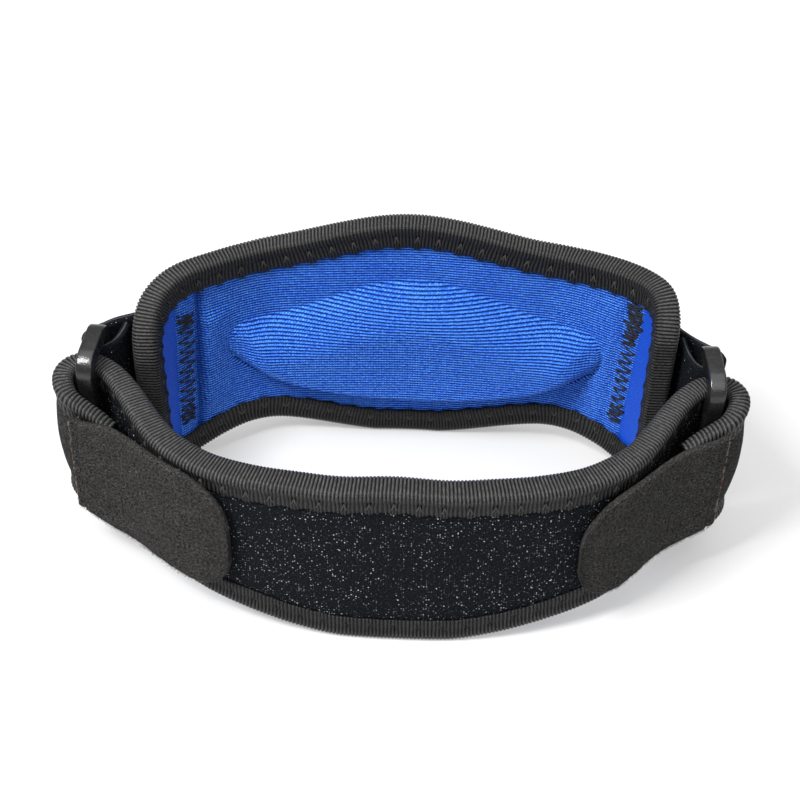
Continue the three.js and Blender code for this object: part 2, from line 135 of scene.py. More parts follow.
def ripple(along, across, size, seed):
    """Gentle unevenness between -1 and 1: a seeded sum of waves about one size long."""
    draw = np.random.default_rng(seed)
    waves = [draw.uniform(0, 6.28, 9), draw.uniform(0.7, 1.6, 9), draw.uniform(0, 6.28, 9)]
    total = 0.0
    for turn, scale, phase in zip(*waves):
        wave = (along * math.cos(turn) + across * math.sin(turn)) * 6.28 * scale / size
        total = total + np.sin(wave + phase)
    return total / 4.5


def skin_mesh(name, loops, along, across, ring=False, outer_faces=None):
    """Closed mesh over a row of section loops, with a map of millimetres along and across the cloth."""
    count, size = loops.shape[:2]
    spans = count if ring else count - 1
    i = np.repeat(np.arange(spans), size)
    j = np.tile(np.arange(size), spans)
    near, far = i * size, (i + 1) % count * size
    k = (j + 1) % size
    faces = np.stack([near + j, near + k, far + k, far + j], -1).tolist()
    across = np.broadcast_to(across, (len(along), size + 1))
    corners = [(i, j), (i, j + 1), (i + 1, j + 1), (i + 1, j)]
    cloth_map = np.stack([np.stack([along[a], across[a, b]], -1) for a, b in corners], 1).reshape(-1, 2)
    if not ring:
        last = (count - 1) * size
        faces += [list(range(size))[::-1], list(range(last, last + size))]
        caps = [np.stack([np.full(size, along[0]), across[0, :size][::-1]], -1),
                np.stack([np.full(size, along[-1]), across[-1, :size]], -1)]
        cloth_map = np.concatenate([cloth_map, *caps])
    mesh = bpy.data.meshes.new(name)
    mesh.from_pydata(loops.reshape(-1, 3).tolist(), [], faces)
    mesh.uv_layers.new(name=CLOTH_MAP).data.foreach_set("uv", cloth_map.ravel())
    smooth = np.ones(len(faces), bool)
    smooth[spans * size:] = False
    mesh.polygons.foreach_set("use_smooth", smooth)
    points = loops.reshape(-1, 3)
    quads = np.array(faces[:spans * size])
    a, b, c, d = (points[quads[:, n]] for n in range(4))
    if (a * (np.cross(b, c) + np.cross(c, d))).sum() < 0:
        mesh.flip_normals()
    if outer_faces is not None:
        second = np.zeros(len(faces), int)
        second[:spans * size] = ~outer_faces[j]
        mesh.polygons.foreach_set("material_index", second)
    return mesh


def both_faces(run, apart):
    """Map values across a closed section of two faces, the second one mapped apart from the first."""
    return np.concatenate([run, apart + run, [2 * apart]])


def fit_piece(name, mesh, slot, *materials):
    piece = bpy.data.objects.new(name, mesh)
    bpy.context.collection.objects.link(piece)
    for material in materials:
        mesh.materials.append(material)
    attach(piece, "root")
    return piece


def strand_mesh(name, paths, radius, put, sides=5):
    """Closed round strands along paths of (along, across, offset), laid on a cloth by put."""
    count, size = paths.shape[:2]
    ahead = np.gradient(paths, axis=1)
    ahead /= np.linalg.norm(ahead, axis=2, keepdims=True)
    lean = np.cross(ahead, np.array([0.35, 0.21, 0.91]))
    lean /= np.linalg.norm(lean, axis=2, keepdims=True)
    rise = np.cross(ahead, lean)
    turn = np.arange(sides) * 2 * math.pi / sides
    girth = np.broadcast_to(radius, (count, size))[:, :, None, None]
    spokes = lean[:, :, None] * np.cos(turn)[:, None] + rise[:, :, None] * np.sin(turn)[:, None]
    flat = (paths[:, :, None] + spokes * girth).reshape(-1, 3)
    points = put(flat[:, 0], flat[:, 1], flat[:, 2])
    strand, step, side = (x.ravel() for x in np.meshgrid(
        np.arange(count), np.arange(size - 1), np.arange(sides), indexing="ij"))
    base = (strand * size + step) * sides
    beside = (side + 1) % sides
    faces = np.stack([base + side, base + beside, base + sides + beside, base + sides + side], -1).tolist()
    starts = np.arange(count)[:, None] * size * sides + np.arange(sides)
    faces += starts[:, ::-1].tolist() + (starts + (size - 1) * sides).tolist()
    mesh = bpy.data.meshes.new(name)
    mesh.from_pydata(points.tolist(), [], faces)
    mesh.polygons.foreach_set("use_smooth", np.ones(len(faces), bool))
    thread_map = np.zeros((len(mesh.loops), 2))
    corner_step = np.stack([step, step, step + 1, step + 1], -1).ravel()
    corner_side = np.stack([side, side + 1, side + 1, side], -1).ravel()
    thread_map[:len(corner_step)] = np.stack([corner_step, corner_side / sides], -1)
    mesh.uv_layers.new(name=CLOTH_MAP).data.foreach_set("uv", thread_map.ravel())
    a, b, c = points[faces[0][0]], points[faces[0][1]], points[faces[0][2]]
    middle = points[:sides].mean(0)
    if np.dot(np.cross(b - a, c - a), a - middle) < 0:
        mesh.flip_normals()
    return mesh


def add_node(tree, kind, inputs=None, **settings):
    made = tree.nodes.new(kind)
    for key, value in settings.items():
        setattr(made, key, value)
    for socket, value in (inputs or {}).items():
        if isinstance(value, bpy.types.NodeSocket):
            tree.links.new(value, made.inputs[socket])
        else:
            made.inputs[socket].default_value = value
    return made


def sum_node(tree, operation, first, second=0.0):
    return add_node(tree, "ShaderNodeMath", {0: first, 1: second}, operation=operation).outputs[0]


def wave_node(tree, place, pitch):
    """Rounded ridges at a pitch along one direction of the cloth, from 0 between them to 1 on top."""
    turn = sum_node(tree, "MULTIPLY", place, math.pi / pitch)
    return sum_node(tree, "ABSOLUTE", sum_node(tree, "SINE", turn))


def mix_node(tree, share, first, second):
    return add_node(tree, "ShaderNodeMix", {0: share, 6: first, 7: second}, data_type="RGBA").outputs[2]


def new_group(name, inputs, outputs):
    group = bpy.data.node_groups.new(name, "ShaderNodeTree")
    for label, value in inputs.items():
        socket = group.interface.new_socket(label, in_out="INPUT", socket_type="NodeSocketFloat")
        socket.default_value = value
    for label in outputs:
        group.interface.new_socket(label, in_out="OUTPUT", socket_type="NodeSocketFloat")
    return group, group.nodes.new("NodeGroupInput").outputs, group.nodes.new("NodeGroupOutput").inputs


def use_group(tree, group, values):
    placed = add_node(tree, "ShaderNodeGroup", node_tree=group)
    for label, value in values.items():
        placed.inputs[label].default_value = value
    return placed.outputs


def new_finish(name, **sockets):
    """Material whose constant values are set straight on its shader."""
    material = bpy.data.materials.new(name)
    material.use_nodes = True
    tree = material.node_tree
    shader = tree.nodes["Principled BSDF"]
    for label, value in sockets.items():
        shader.inputs[label.replace("_", " ")].default_value = value
    return material, tree, shader


# Fibre grain: uneven fibre shade, stretched along the cloth; grain and stretch are in millimetres and times
fibre_grain, given, result = new_group("fibre_grain", {"Grain": 0.5, "Stretch": 1.0}, ["Shade"])
across_scale = sum_node(fibre_grain, "DIVIDE", 1.0, given["Grain"])
along_scale = sum_node(fibre_grain, "DIVIDE", across_scale, given["Stretch"])
cloth_place = add_node(fibre_grain, "ShaderNodeUVMap", uv_map=CLOTH_MAP).outputs[0]
scales = add_node(fibre_grain, "ShaderNodeCombineXYZ", {0: along_scale, 1: across_scale}).outputs[0]
grain_place = add_node(
    fibre_grain, "ShaderNodeVectorMath", {0: cloth_place, 1: scales}, operation="MULTIPLY")
grain_noise = add_node(fibre_grain, "ShaderNodeTexNoise",
                       {"Vector": grain_place.outputs[0], "Scale": 1.0, "Detail": 3.0, "Roughness": 0.65},
                       noise_dimensions="2D")
fibre_grain.links.new(grain_noise.outputs[0], result["Shade"])

# Glint and fleck spots: small bright spots of colour in a share of cells of a given spacing; on the loop
# pile they are painted glints standing in for highlights where a fibre faces the light, on the felt real
# pale flecks
glint_and_fleck_spots, given, result = new_group(
    "glint_and_fleck_spots", {"Spacing": 0.6, "Share": 0.1, "Size": 0.3}, ["Glint"])
cloth_place = add_node(glint_and_fleck_spots, "ShaderNodeUVMap", uv_map=CLOTH_MAP).outputs[0]
cell_scale = sum_node(glint_and_fleck_spots, "DIVIDE", 1.0, given["Spacing"])
cells = add_node(glint_and_fleck_spots, "ShaderNodeTexVoronoi", {"Vector": cloth_place, "Scale": cell_scale},
                 voronoi_dimensions="2D")
draw = add_node(glint_and_fleck_spots, "ShaderNodeSeparateColor", {0: cells.outputs["Color"]}).outputs
chosen = sum_node(glint_and_fleck_spots, "LESS_THAN", draw[0], given["Share"])
spot_size = sum_node(glint_and_fleck_spots, "MULTIPLY", sum_node(glint_and_fleck_spots, "ADD", draw[1], 0.35), given["Size"])
spot = sum_node(glint_and_fleck_spots, "LESS_THAN", cells.outputs["Distance"], spot_size)
strength = sum_node(glint_and_fleck_spots, "MULTIPLY", chosen, sum_node(glint_and_fleck_spots, "POWER", draw[2], 1.5))
glint_and_fleck_spots.links.new(sum_node(glint_and_fleck_spots, "MULTIPLY", spot, strength), result["Glint"])


def pile_cloth(name, painted_glint_share):
    """Finish of the loop pile's ground, with a share of painted glints: pale spots of colour standing in
    for highlights on the fibres.
    """
    material, tree, shader = new_finish(name, Roughness=0.85, Specular_IOR_Level=0.06)
    grain = use_group(tree, fibre_grain, {"Grain": 0.4, "Stretch": 1.0})["Shade"]
    tuft = add_node(tree, "ShaderNodeMapRange", {0: grain, 1: 0.3, 2: 0.7}).outputs[0]
    tint = mix_node(tree, tuft, PILE_DARK, PILE_LIGHT)
    # Painted highlight: pale spots of colour where the fibres would glint in the light
    painted_glint = use_group(tree, glint_and_fleck_spots, {"Spacing": 0.46, "Share": painted_glint_share, "Size": 0.19})["Glint"]
    tree.links.new(mix_node(tree, painted_glint, tint, PILE_PAINTED_GLINT), shader.inputs["Base Color"])
    bump = add_node(tree, "ShaderNodeBump", {"Height": grain, "Strength": 0.7, "Distance": 0.25 * MM})
    tree.links.new(bump.outputs[0], shader.inputs["Normal"])
    return material


pile_finish = pile_cloth("loop_pile", 0.26)

# The pile's own loops are thin strands; a few at random are coloured pale, painted highlights standing in
# for loops that face the light and shine
loop_finish, tree, shader = new_finish("pile_loop", Roughness=0.4, Specular_IOR_Level=0.3)
island = add_node(tree, "ShaderNodeNewGeometry").outputs["Random Per Island"]
painted_shine = sum_node(tree, "GREATER_THAN", island, 1 - PAINTED_SHINING_LOOPS)
tree.links.new(mix_node(tree, painted_shine, PILE_LIGHT, PILE_PAINTED_GLINT), shader.inputs["Base Color"])

panel_line = plan_line(mirrored(PANEL_BENDS)[::-1])
PANEL_LENGTH = panel_line[0][-1]
PANEL_HALF = PANEL_LENGTH / 2


def corner_loss(from_end, radius):
    inside = np.maximum(0, radius - from_end)
    return radius - np.sqrt(np.maximum(0, radius ** 2 - inside ** 2))


def panel_middle(from_middle):
    return PANEL_MIDDLE - PANEL_TILT * from_middle / PANEL_HALF


def panel_edges(from_middle, inset):
    """Lower and upper edge of the panel drawn in by an inset, at distances from mid length."""
    out = abs(from_middle)
    bulge = PANEL_BULGE * np.cos(np.minimum(1, out / PANEL_BULGE_REACH) * math.pi / 2) ** 2
    reach = (PANEL_END_HEIGHT + bulge) / 2 - inset
    foot, top = (np.where(from_middle > 0, PANEL_CORNERS["left"][edge], PANEL_CORNERS["right"][edge])
                 for edge in ("foot", "top"))
    drop = PANEL_DROP * smooth_share(out, PANEL_BULGE_REACH, PANEL_HALF - foot)
    from_end = PANEL_HALF - inset - out
    low = panel_middle(from_middle) - reach + corner_loss(from_end, foot - inset) - drop
    high = panel_middle(from_middle) + reach - corner_loss(from_end, top - inset)
    return np.maximum(inset, low), high


def panel_columns(step):
    """Distances from mid length, closer together round the rounded ends."""
    reach = PANEL_HALF - CUT_INSET
    bend = 1 - np.cos(np.linspace(0, 1, 22, endpoint=False) * math.pi / 2)
    left, right = (PANEL_CORNERS[side]["top"] - CUT_INSET for side in ("left", "right"))
    straight = np.linspace(right - reach, reach - left, round((2 * reach - left - right) / step))
    return np.concatenate([right * bend - reach, straight, (reach - left * bend)[::-1]])


def pile_paths(along, across, offset, size, height, seed):
    """Loops of pile standing on a face: arches about one size wide, turned every way."""
    draw = np.random.default_rng(seed)
    count = (len(along), 1)
    turn = draw.uniform(0, 2 * math.pi, count)
    width = size * draw.uniform(0.6, 1.3, count)
    lift = height * draw.uniform(0.5, 1.2, count)
    share = np.linspace(0, 1, 4)
    arch = np.sin(share * math.pi)
    reach = (share - 0.5) * width
    lean = draw.uniform(-0.3, 0.3, count) * size * arch
    return np.stack([
        along[:, None] + np.cos(turn) * reach - np.sin(turn) * lean,
        across[:, None] + np.sin(turn) * reach + np.cos(turn) * lean,
        offset[:, None] + lift * arch - np.sign(height) * 0.08,
    ], -1)


def scatter(length, width, spacing, seed):
    """Jittered places over a length and a width, as shares of the width."""
    draw = np.random.default_rng(seed)
    along, share = np.meshgrid(np.arange(0, length, spacing), np.arange(0, width, spacing) / width)
    along = along.ravel() + draw.uniform(0, spacing, along.size)
    return along, np.clip(share.ravel() + draw.uniform(0, spacing / width, share.size), 0, 1)


def on_panel(from_middle, height, offset):
    return on_wall(panel_line, from_middle + PANEL_HALF, offset, height)


columns = panel_columns(BACK_STEP)
low, high = panel_edges(columns, CUT_INSET)
share = np.linspace(0, 1, BACK_ROWS)
heights = low[:, None] + (high - low)[:, None] * share
crown = BACK_CROWN * np.sin(share * math.pi) ** 0.5
crown = crown + BACK_UNEVEN * ripple(columns[:, None], heights, 9, seed=1)
outer = on_panel(columns[:, None], heights, BACK_OUTER - CLOTH_SINK + crown)
inner = on_panel(columns[:, None], heights, BACK_INNER + 0 * heights)
back_loops = np.concatenate([outer, inner[:, ::-1]], 1)
back_mesh = skin_mesh("panel_back_cloth", back_loops, columns, both_faces(share * 50, 51))
panel_back = fit_piece("panel_back_cloth", back_mesh, "loop_fabric", pile_finish)
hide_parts("panel_back")

pile_length = PANEL_LENGTH - 2 * BACK_PILE["end_margin"]
along, share = scatter(pile_length, BACK_PILE["width"], BACK_PILE["spacing"], seed=2)
along = along - PANEL_HALF + BACK_PILE["end_margin"]
low, high = panel_edges(along, BACK_PILE["edge_margin"])
across = low + (high - low) * share
surface = np.full(len(along), BACK_OUTER)
paths = pile_paths(along, across, surface, BACK_PILE["loop"], BACK_PILE["lift"], seed=3)
pile_mesh = strand_mesh("panel_back_pile", paths, PILE_STRAND, on_panel, sides=3)
back_pile = fit_piece("panel_back_pile", pile_mesh, "loop_fabric", loop_finish)

# Pressure pad: a lens of moulded foam between the back and the lining, thick in its middle.
# Nothing fixes it but the lining stretched over it, so it follows the panel's bend.
PAD_CENTRE = -1.3
PAD_TIPS = 27.2
PAD_REACH = 37.8
PAD_UPPER = dict(ends=4.0, bulge=8.9, bulge_reach=33.0, corner=4.0, shoulder=9.5)
PAD_LOWER = dict(full_height=16.0, bluntness=1.9, shoulder=2.8)
PAD_HEIGHT = 5.6
PAD_TAPER = 10
PAD_RIM = 0.8
PAD_CLEARANCE = 0.3
PAD_BACK_GAP = 0.05
PAD_MESH_SHARE = 0.97
PAD_COLUMNS = 70
PAD_ROWS = 27
LINING_OUTER = -0.325
FOAM_DARK = (0.01, 0.01, 0.012, 1)
FOAM_LIGHT = (0.035, 0.036, 0.04, 1)


def pad_edges(from_middle):
    """Lower and upper edge of the pad: full below its tips, following the panel's bulge above them."""
    out = np.minimum(PAD_REACH, abs(from_middle - PAD_CENTRE))
    bulge_share = np.minimum(1, out / PAD_UPPER["bulge_reach"])
    bulge = PAD_UPPER["bulge"] * np.cos(bulge_share * math.pi / 2) ** 2
    upper = PAD_UPPER["ends"] + bulge - corner_loss(PAD_REACH - out, PAD_UPPER["corner"])
    lower = PAD_LOWER["full_height"] * np.sqrt(1 - (out / PAD_REACH) ** PAD_LOWER["bluntness"])
    return PAD_TIPS - lower, PAD_TIPS + upper


def from_line(line, from_middle, height):
    """Distance from a line through points."""
    nearest = np.inf
    for start, end in zip(line, line[1:]):
        step = end - start
        aside, above = from_middle - start[0], height - start[1]
        share = np.clip((aside * step[0] + above * step[1]) / (step @ step), 0, 1)
        nearest = np.minimum(nearest, np.hypot(aside - share * step[0], above - share * step[1]))
    return nearest


def pad_shape(from_middle, height):
    """Height of the pad, and the distance in from its outline, less than zero outside it."""
    column = PAD_CENTRE + PAD_REACH * np.cos(np.linspace(0, math.pi, 151))
    edges = [from_line(np.stack([column, edge], -1), from_middle, height) for edge in pad_edges(column)]
    low, high = pad_edges(from_middle)
    out = abs(from_middle - PAD_CENTRE)
    within = (out < PAD_REACH) & (height > low) & (height < high)
    from_tip = np.clip((PAD_REACH - out) / PAD_TAPER, 0, 1)
    rise = np.sqrt(1 - (1 - from_tip) ** 2)
    for distance, edge in zip(edges, (PAD_LOWER, PAD_UPPER)):
        rise = rise * (1 - (1 - np.clip(distance / edge["shoulder"], 0, 1)) ** 2)
    return PAD_RIM + (PAD_HEIGHT - PAD_RIM) * rise, np.where(within, 1, -1) * np.minimum(*edges)


reach = PAD_REACH * PAD_MESH_SHARE
columns = np.linspace(PAD_CENTRE - reach, PAD_CENTRE + reach, PAD_COLUMNS)
share = np.linspace(-1, 1, PAD_ROWS)
low, high = (edge[:, None] for edge in pad_edges(columns))
heights = (high + low) / 2 + share * (high - low) / 2 * PAD_MESH_SHARE
offset = LINING_OUTER - pad_shape(columns[:, None], heights)[0] + PAD_CLEARANCE
face = on_panel(columns[:, None], heights, offset)
flat_back = on_panel(columns[:, None], heights, LINING_OUTER - PAD_BACK_GAP + 0 * heights)
pad_loops = np.concatenate([face, flat_back[:, ::-1]], 1)
pad_mesh = skin_mesh("pressure_pad_foam", pad_loops, columns, both_faces(share * 15, 16))

foam_finish, tree, shader = new_finish("pad_foam", Roughness=0.85)
cell_place = add_node(tree, "ShaderNodeTexCoord").outputs["Object"]
foam_cells = add_node(tree, "ShaderNodeTexVoronoi", {"Vector": cell_place, "Scale": 1400.0},
                      voronoi_dimensions="3D")
foam_tint = mix_node(tree, foam_cells.outputs["Distance"], FOAM_DARK, FOAM_LIGHT)
tree.links.new(foam_tint, shader.inputs["Base Color"])
bump = add_node(tree, "ShaderNodeBump",
                {"Height": foam_cells.outputs["Distance"], "Strength": 0.5, "Distance": 0.2 * MM})
tree.links.new(bump.outputs[0], shader.inputs["Normal"])
pad = fit_piece("pressure_pad_foam", pad_mesh, "pad_foam", foam_finish)
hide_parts("pressure_pad")

# Panel lining: royal blue warp knit with a silky face, laid with its courses along the panel.
# It is stretched over the pad, tacked down by a zigzag seam near each end, and sewn in by the binding.
# Outside each seam a smooth strip of its backing shows.
LINING_INNER = -1.325
COURSE = 0.62
KNIT_STRETCH = 1.03
WALE = 0.55
COURSE_RELIEF = 0.20
ROWS_PER_COURSE = 4
LINING_STEP = 0.68
LINING_BACK_ROWS = 46
HIDDEN_MARGIN = 4.3
PAD_SKIRT_UPPER = 0.9
PAD_SKIRT_LOWER = 0.6
PAD_TUCK = dict(depth=0.8, beyond=0.5, width=0.4)
STRIP_FLATNESS = 0.92
STRIP_SINK = 0.25
SEAM_PULL = dict(depth=0.12, margin=1.2)
SEAM_CREASE = dict(depth=1.1, beside=0.7, width=0.8)
SEAM_SWELL = dict(height=1.4, start=0.6, full=2.6, end=9)
# Top and bottom are distances from mid length, half width is the zigzag's; tack is the stitches sewn over
# again at the top; crease is how far the cloth folds beside the seam, and its painted darkness how dark the
# painted shade in that crease is
LINING_SEAMS = {
    "left": dict(top=45.6, top_height=38.4, bottom=47.1, bottom_height=11.0, half_width=2.1, teeth=11,
                 tack=3, crease=0.7, painted_crease_darkness=0.8),
    "right": dict(top=-46.9, top_height=43.5, bottom=-43.8, bottom_height=12.4, half_width=2.0, teeth=13,
                  tack=9, crease=0.12, painted_crease_darkness=0.15),
}
# Knit colours: painted shade in the course valleys and creases, the knit's blue on the crests, the backing
# strips' own blue, and a painted sheen on the crests
KNIT_PAINTED_SHADE = (0.002, 0.019, 0.16, 1)
KNIT_BLUE = (0.014, 0.098, 1.0, 1)
KNIT_PAINTED_SHEEN = (0.12, 0.38, 1.0, 1)
STRIP_BLUE = (0.005, 0.060, 0.52, 1)
PAINTED_SHEEN_STRENGTH = 6.5


def seam_along(seam, height):
    share = (height - seam["bottom_height"]) / (seam["top_height"] - seam["bottom_height"])
    return seam["bottom"] + (seam["top"] - seam["bottom"]) * share


def from_seam(seam, from_middle, height):
    """Distance from a seam's mid line towards the panel's end."""
    return (from_middle - seam_along(seam, height)) * math.copysign(1, seam["top"])


def lining_rise(from_middle, height):
    """How far the lining stands in from the panel: the pad under it, less the pull of the seams."""
    pad_rise, inside = pad_shape(from_middle, height)
    beyond = np.maximum(0, -inside)
    skirt = np.where(height > PAD_TIPS, PAD_SKIRT_UPPER, PAD_SKIRT_LOWER)
    outside = PAD_RIM * (1 - smooth_share(beyond, 0, skirt))
    below = smooth_share(PAD_TIPS - height, -6, 4)
    tuck = np.exp(-((beyond - PAD_TUCK["beyond"]) / PAD_TUCK["width"]) ** 2)
    outside = outside - PAD_TUCK["depth"] * below * tuck
    rise = np.where(inside > 0, pad_rise, outside)
    for seam in LINING_SEAMS.values():
        outward = from_seam(seam, from_middle, height)
        edge = seam["half_width"]
        crease = np.exp(-((outward + edge + SEAM_CREASE["beside"]) / SEAM_CREASE["width"]) ** 2)
        between = smooth_share(height, seam["bottom_height"] - 1, seam["bottom_height"] + 4)
        between = between * smooth_share(-height, -seam["top_height"], 4 - seam["top_height"])
        near = smooth_share(-outward, edge + SEAM_SWELL["start"], edge + SEAM_SWELL["full"])
        far = smooth_share(outward, -edge - SEAM_SWELL["end"], -edge - SEAM_SWELL["full"])
        swell = near * far * between
        held = smooth_share(edge + SEAM_PULL["margin"] - abs(outward), 0, SEAM_PULL["margin"])
        strip = smooth_share(outward, edge - 0.2, edge + 0.3)
        rise = rise + seam["crease"] * (SEAM_SWELL["height"] * swell - SEAM_CREASE["depth"] * crease)
        rise = rise - SEAM_PULL["depth"] * held - STRIP_SINK * strip
    return rise


def course_relief(from_middle, level):
    """Rounded courses of the knit, flatter on the smooth strip outside each seam."""
    wave = np.abs(np.sin(math.pi * level / COURSE))
    smooth_strip = 0.0
    for seam in LINING_SEAMS.values():
        outward = from_seam(seam, from_middle, PANEL_MIDDLE + level)
        smooth_strip = np.maximum(smooth_strip, smooth_share(outward, 1.6, 2.2))
    return COURSE_RELIEF * (wave - 0.6) * (1 - STRIP_FLATNESS * smooth_strip)


def stretched(from_middle, heights, low, high):
    """Heights of the courses of one column, spread over the pad and closer between it and the edges."""
    pad_low, pad_high = pad_edges(from_middle)
    slack_low, slack_high = (PAD_TIPS + (edge - PAD_TIPS) / KNIT_STRETCH for edge in (pad_low, pad_high))
    return np.interp(heights, [low, slack_low, slack_high, high], [low, pad_low, pad_high, high])


columns = panel_columns(LINING_STEP)
low, high = panel_edges(columns, CUT_INSET)
row_count = math.ceil(((PANEL_END_HEIGHT + PANEL_BULGE) / 2 - CUT_INSET) / COURSE * ROWS_PER_COURSE)
levels = np.arange(-row_count, row_count + 1) * COURSE / ROWS_PER_COURSE
border = np.where(levels < 0, (PANEL_MIDDLE - low)[:, None], (high - PANEL_MIDDLE)[:, None])
shown = np.maximum(1, border - HIDDEN_MARGIN)
squeezed = shown + (border - shown) * (abs(levels) - shown) / np.maximum(0.1, levels[-1] - shown)
heights = PANEL_MIDDLE + np.sign(levels) * np.where(abs(levels) <= shown, abs(levels), squeezed)
heights = np.stack([stretched(*column) for column in zip(columns, heights, low, high)])
rise = lining_rise(columns[:, None], heights) + course_relief(columns[:, None], levels)
inner = on_panel(columns[:, None], heights, LINING_INNER - rise)
rows = np.linspace(0, 2 * row_count, LINING_BACK_ROWS).round().astype(int)[::-1]
back_rise = np.maximum(0, lining_rise(columns[:, None], heights[:, rows]))
outer = on_panel(columns[:, None], heights[:, rows], LINING_OUTER - back_rise)
course_map = np.concatenate([levels, 60 + levels[rows], [60 + levels[rows][-1]]])
lining_mesh = skin_mesh("panel_lining_knit", np.concatenate([inner, outer], 1), columns, course_map)

knit_finish, tree, shader = new_finish(
    "blue_knit", Roughness=0.5, Specular_IOR_Level=0.14, Specular_Tint=(0.15, 0.45, 1, 1))
cloth_place = add_node(tree, "ShaderNodeUVMap", uv_map=CLOTH_MAP).outputs[0]
place = add_node(tree, "ShaderNodeSeparateXYZ", {0: cloth_place}).outputs
strips = []
painted_crease_masks = []
for seam in LINING_SEAMS.values():
    slope = (seam["top"] - seam["bottom"]) / (seam["top_height"] - seam["bottom_height"])
    mid_line = sum_node(tree, "MULTIPLY", place[1], slope)
    mid_line = sum_node(tree, "ADD", mid_line, seam_along(seam, PANEL_MIDDLE))
    beside = sum_node(tree, "SUBTRACT", place[0], mid_line)
    outward = sum_node(tree, "MULTIPLY", beside, math.copysign(1, seam["top"]))
    edge = seam["half_width"]
    past_edge = add_node(tree, "ShaderNodeMapRange", {0: outward, 1: edge - 0.1, 2: edge + 0.2})
    strips.append(past_edge.outputs[0])
    # Painted shade: a band of darker colour in the crease beside each seam
    from_crease = sum_node(tree, "ABSOLUTE", sum_node(tree, "ADD", outward, edge + 0.8))
    painted_crease_mask = add_node(tree, "ShaderNodeMapRange",
                         {0: from_crease, 2: 1.5, 3: seam["painted_crease_darkness"], 4: 0.0},
                         interpolation_type="SMOOTHSTEP")
    painted_crease_masks.append(painted_crease_mask.outputs[0])
strip = sum_node(tree, "MAXIMUM", *strips)
crease = sum_node(tree, "MAXIMUM", *painted_crease_masks)
stir = use_group(tree, fibre_grain, {"Grain": 0.5, "Stretch": 1.4})["Shade"]
stir_shift = sum_node(tree, "MULTIPLY", sum_node(tree, "SUBTRACT", stir, 0.5), 0.22)
stirred = sum_node(tree, "ADD", place[1], stir_shift)
crest = wave_node(tree, stirred, COURSE)
slanted = sum_node(tree, "ADD", place[0], sum_node(tree, "MULTIPLY", stirred, WALE / COURSE))
wale = wave_node(tree, slanted, WALE)
silk = use_group(tree, fibre_grain, {"Grain": 0.24, "Stretch": 2.2})["Shade"]
cloud = use_group(tree, fibre_grain, {"Grain": 9.0, "Stretch": 2.0})["Shade"]
looped = add_node(tree, "ShaderNodeMapRange", {0: wale, 3: 0.7, 4: 1.1}).outputs[0]
# Painted shade: the colour darkens between the courses, with the wale pattern of the loops, and in the
# crease beside each seam
body = sum_node(tree, "MULTIPLY", sum_node(tree, "POWER", crest, 3.4), looped)
# Painted shade in the crease beside each seam
body = sum_node(tree, "MULTIPLY", body, sum_node(tree, "SUBTRACT", 1.0, crease))
course_shaded_tint = mix_node(tree, strip, mix_node(tree, body, KNIT_PAINTED_SHADE, KNIT_BLUE), STRIP_BLUE)
# Painted sheen: pale colour on the crests, standing in for the silky highlight of the knit
on_crest = sum_node(tree, "MULTIPLY", wale, sum_node(tree, "POWER", crest, 2.5))
painted_crest_sheen = sum_node(tree, "MULTIPLY", sum_node(tree, "POWER", silk, 3.2), on_crest)
clouded = sum_node(tree, "ADD", cloud, 0.8)
painted_sheen_share = sum_node(tree, "MULTIPLY", sum_node(tree, "MULTIPLY", painted_crest_sheen, PAINTED_SHEEN_STRENGTH), clouded)
# The painted sheen and the knit bump fade on the backing strips and in the painted crease shade
dulled = sum_node(tree, "MAXIMUM", sum_node(tree, "MULTIPLY", strip, 0.85), crease)
lively = sum_node(tree, "SUBTRACT", 1.0, dulled)
painted_sheen_share = sum_node(tree, "MULTIPLY", painted_sheen_share, lively)
tree.links.new(mix_node(tree, painted_sheen_share, course_shaded_tint, KNIT_PAINTED_SHEEN), shader.inputs["Base Color"])
rough = add_node(tree, "ShaderNodeMapRange", {0: silk, 3: 0.32, 4: 0.60}).outputs[0]
tree.links.new(rough, shader.inputs["Roughness"])
relief = sum_node(tree, "ADD", sum_node(tree, "MULTIPLY", wale, 0.5), silk)
knit_height = sum_node(tree, "MULTIPLY", relief, lively)
bump = add_node(tree, "ShaderNodeBump", {"Height": knit_height, "Strength": 0.7, "Distance": 0.14 * MM})
tree.links.new(bump.outputs[0], shader.inputs["Normal"])
lining = fit_piece("panel_lining_knit", lining_mesh, "blue_knit", knit_finish)
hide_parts("panel_lining")

# Lining seams: black polyester thread in a zigzag near each end, tacked at top and bottom.
# Each seam goes through the whole panel and holds the ring tab on its other side.
THREAD = 0.155
SEAM_LIFT = 0.36
SEAM_SINK = 0.25


def twist_thread(tree, shader, dark, light):
    """Twisted plies: slanted stripes round the strand, in shade and in relief."""
    thread_place = add_node(tree, "ShaderNodeUVMap", uv_map=CLOTH_MAP).outputs[0]
    part = add_node(tree, "ShaderNodeSeparateXYZ", {0: thread_place}).outputs
    along_turn = sum_node(tree, "MULTIPLY", part[0], 6.3)
    round_turn = sum_node(tree, "MULTIPLY", part[1], 12.57)
    turn = sum_node(tree, "ADD", along_turn, round_turn)
    ply = sum_node(tree, "ABSOLUTE", sum_node(tree, "SINE", turn))
    tree.links.new(mix_node(tree, ply, dark, light), shader.inputs["Base Color"])
    ply_bump = add_node(tree, "ShaderNodeBump", {"Height": ply, "Strength": 0.6, "Distance": 0.08 * MM})
    tree.links.new(ply_bump.outputs[0], shader.inputs["Normal"])


thread_finish, tree, shader = new_finish("black_thread", Roughness=0.5, Specular_IOR_Level=0.3)
twist_thread(tree, shader, (0.003, 0.003, 0.004, 1), (0.018, 0.018, 0.020, 1))


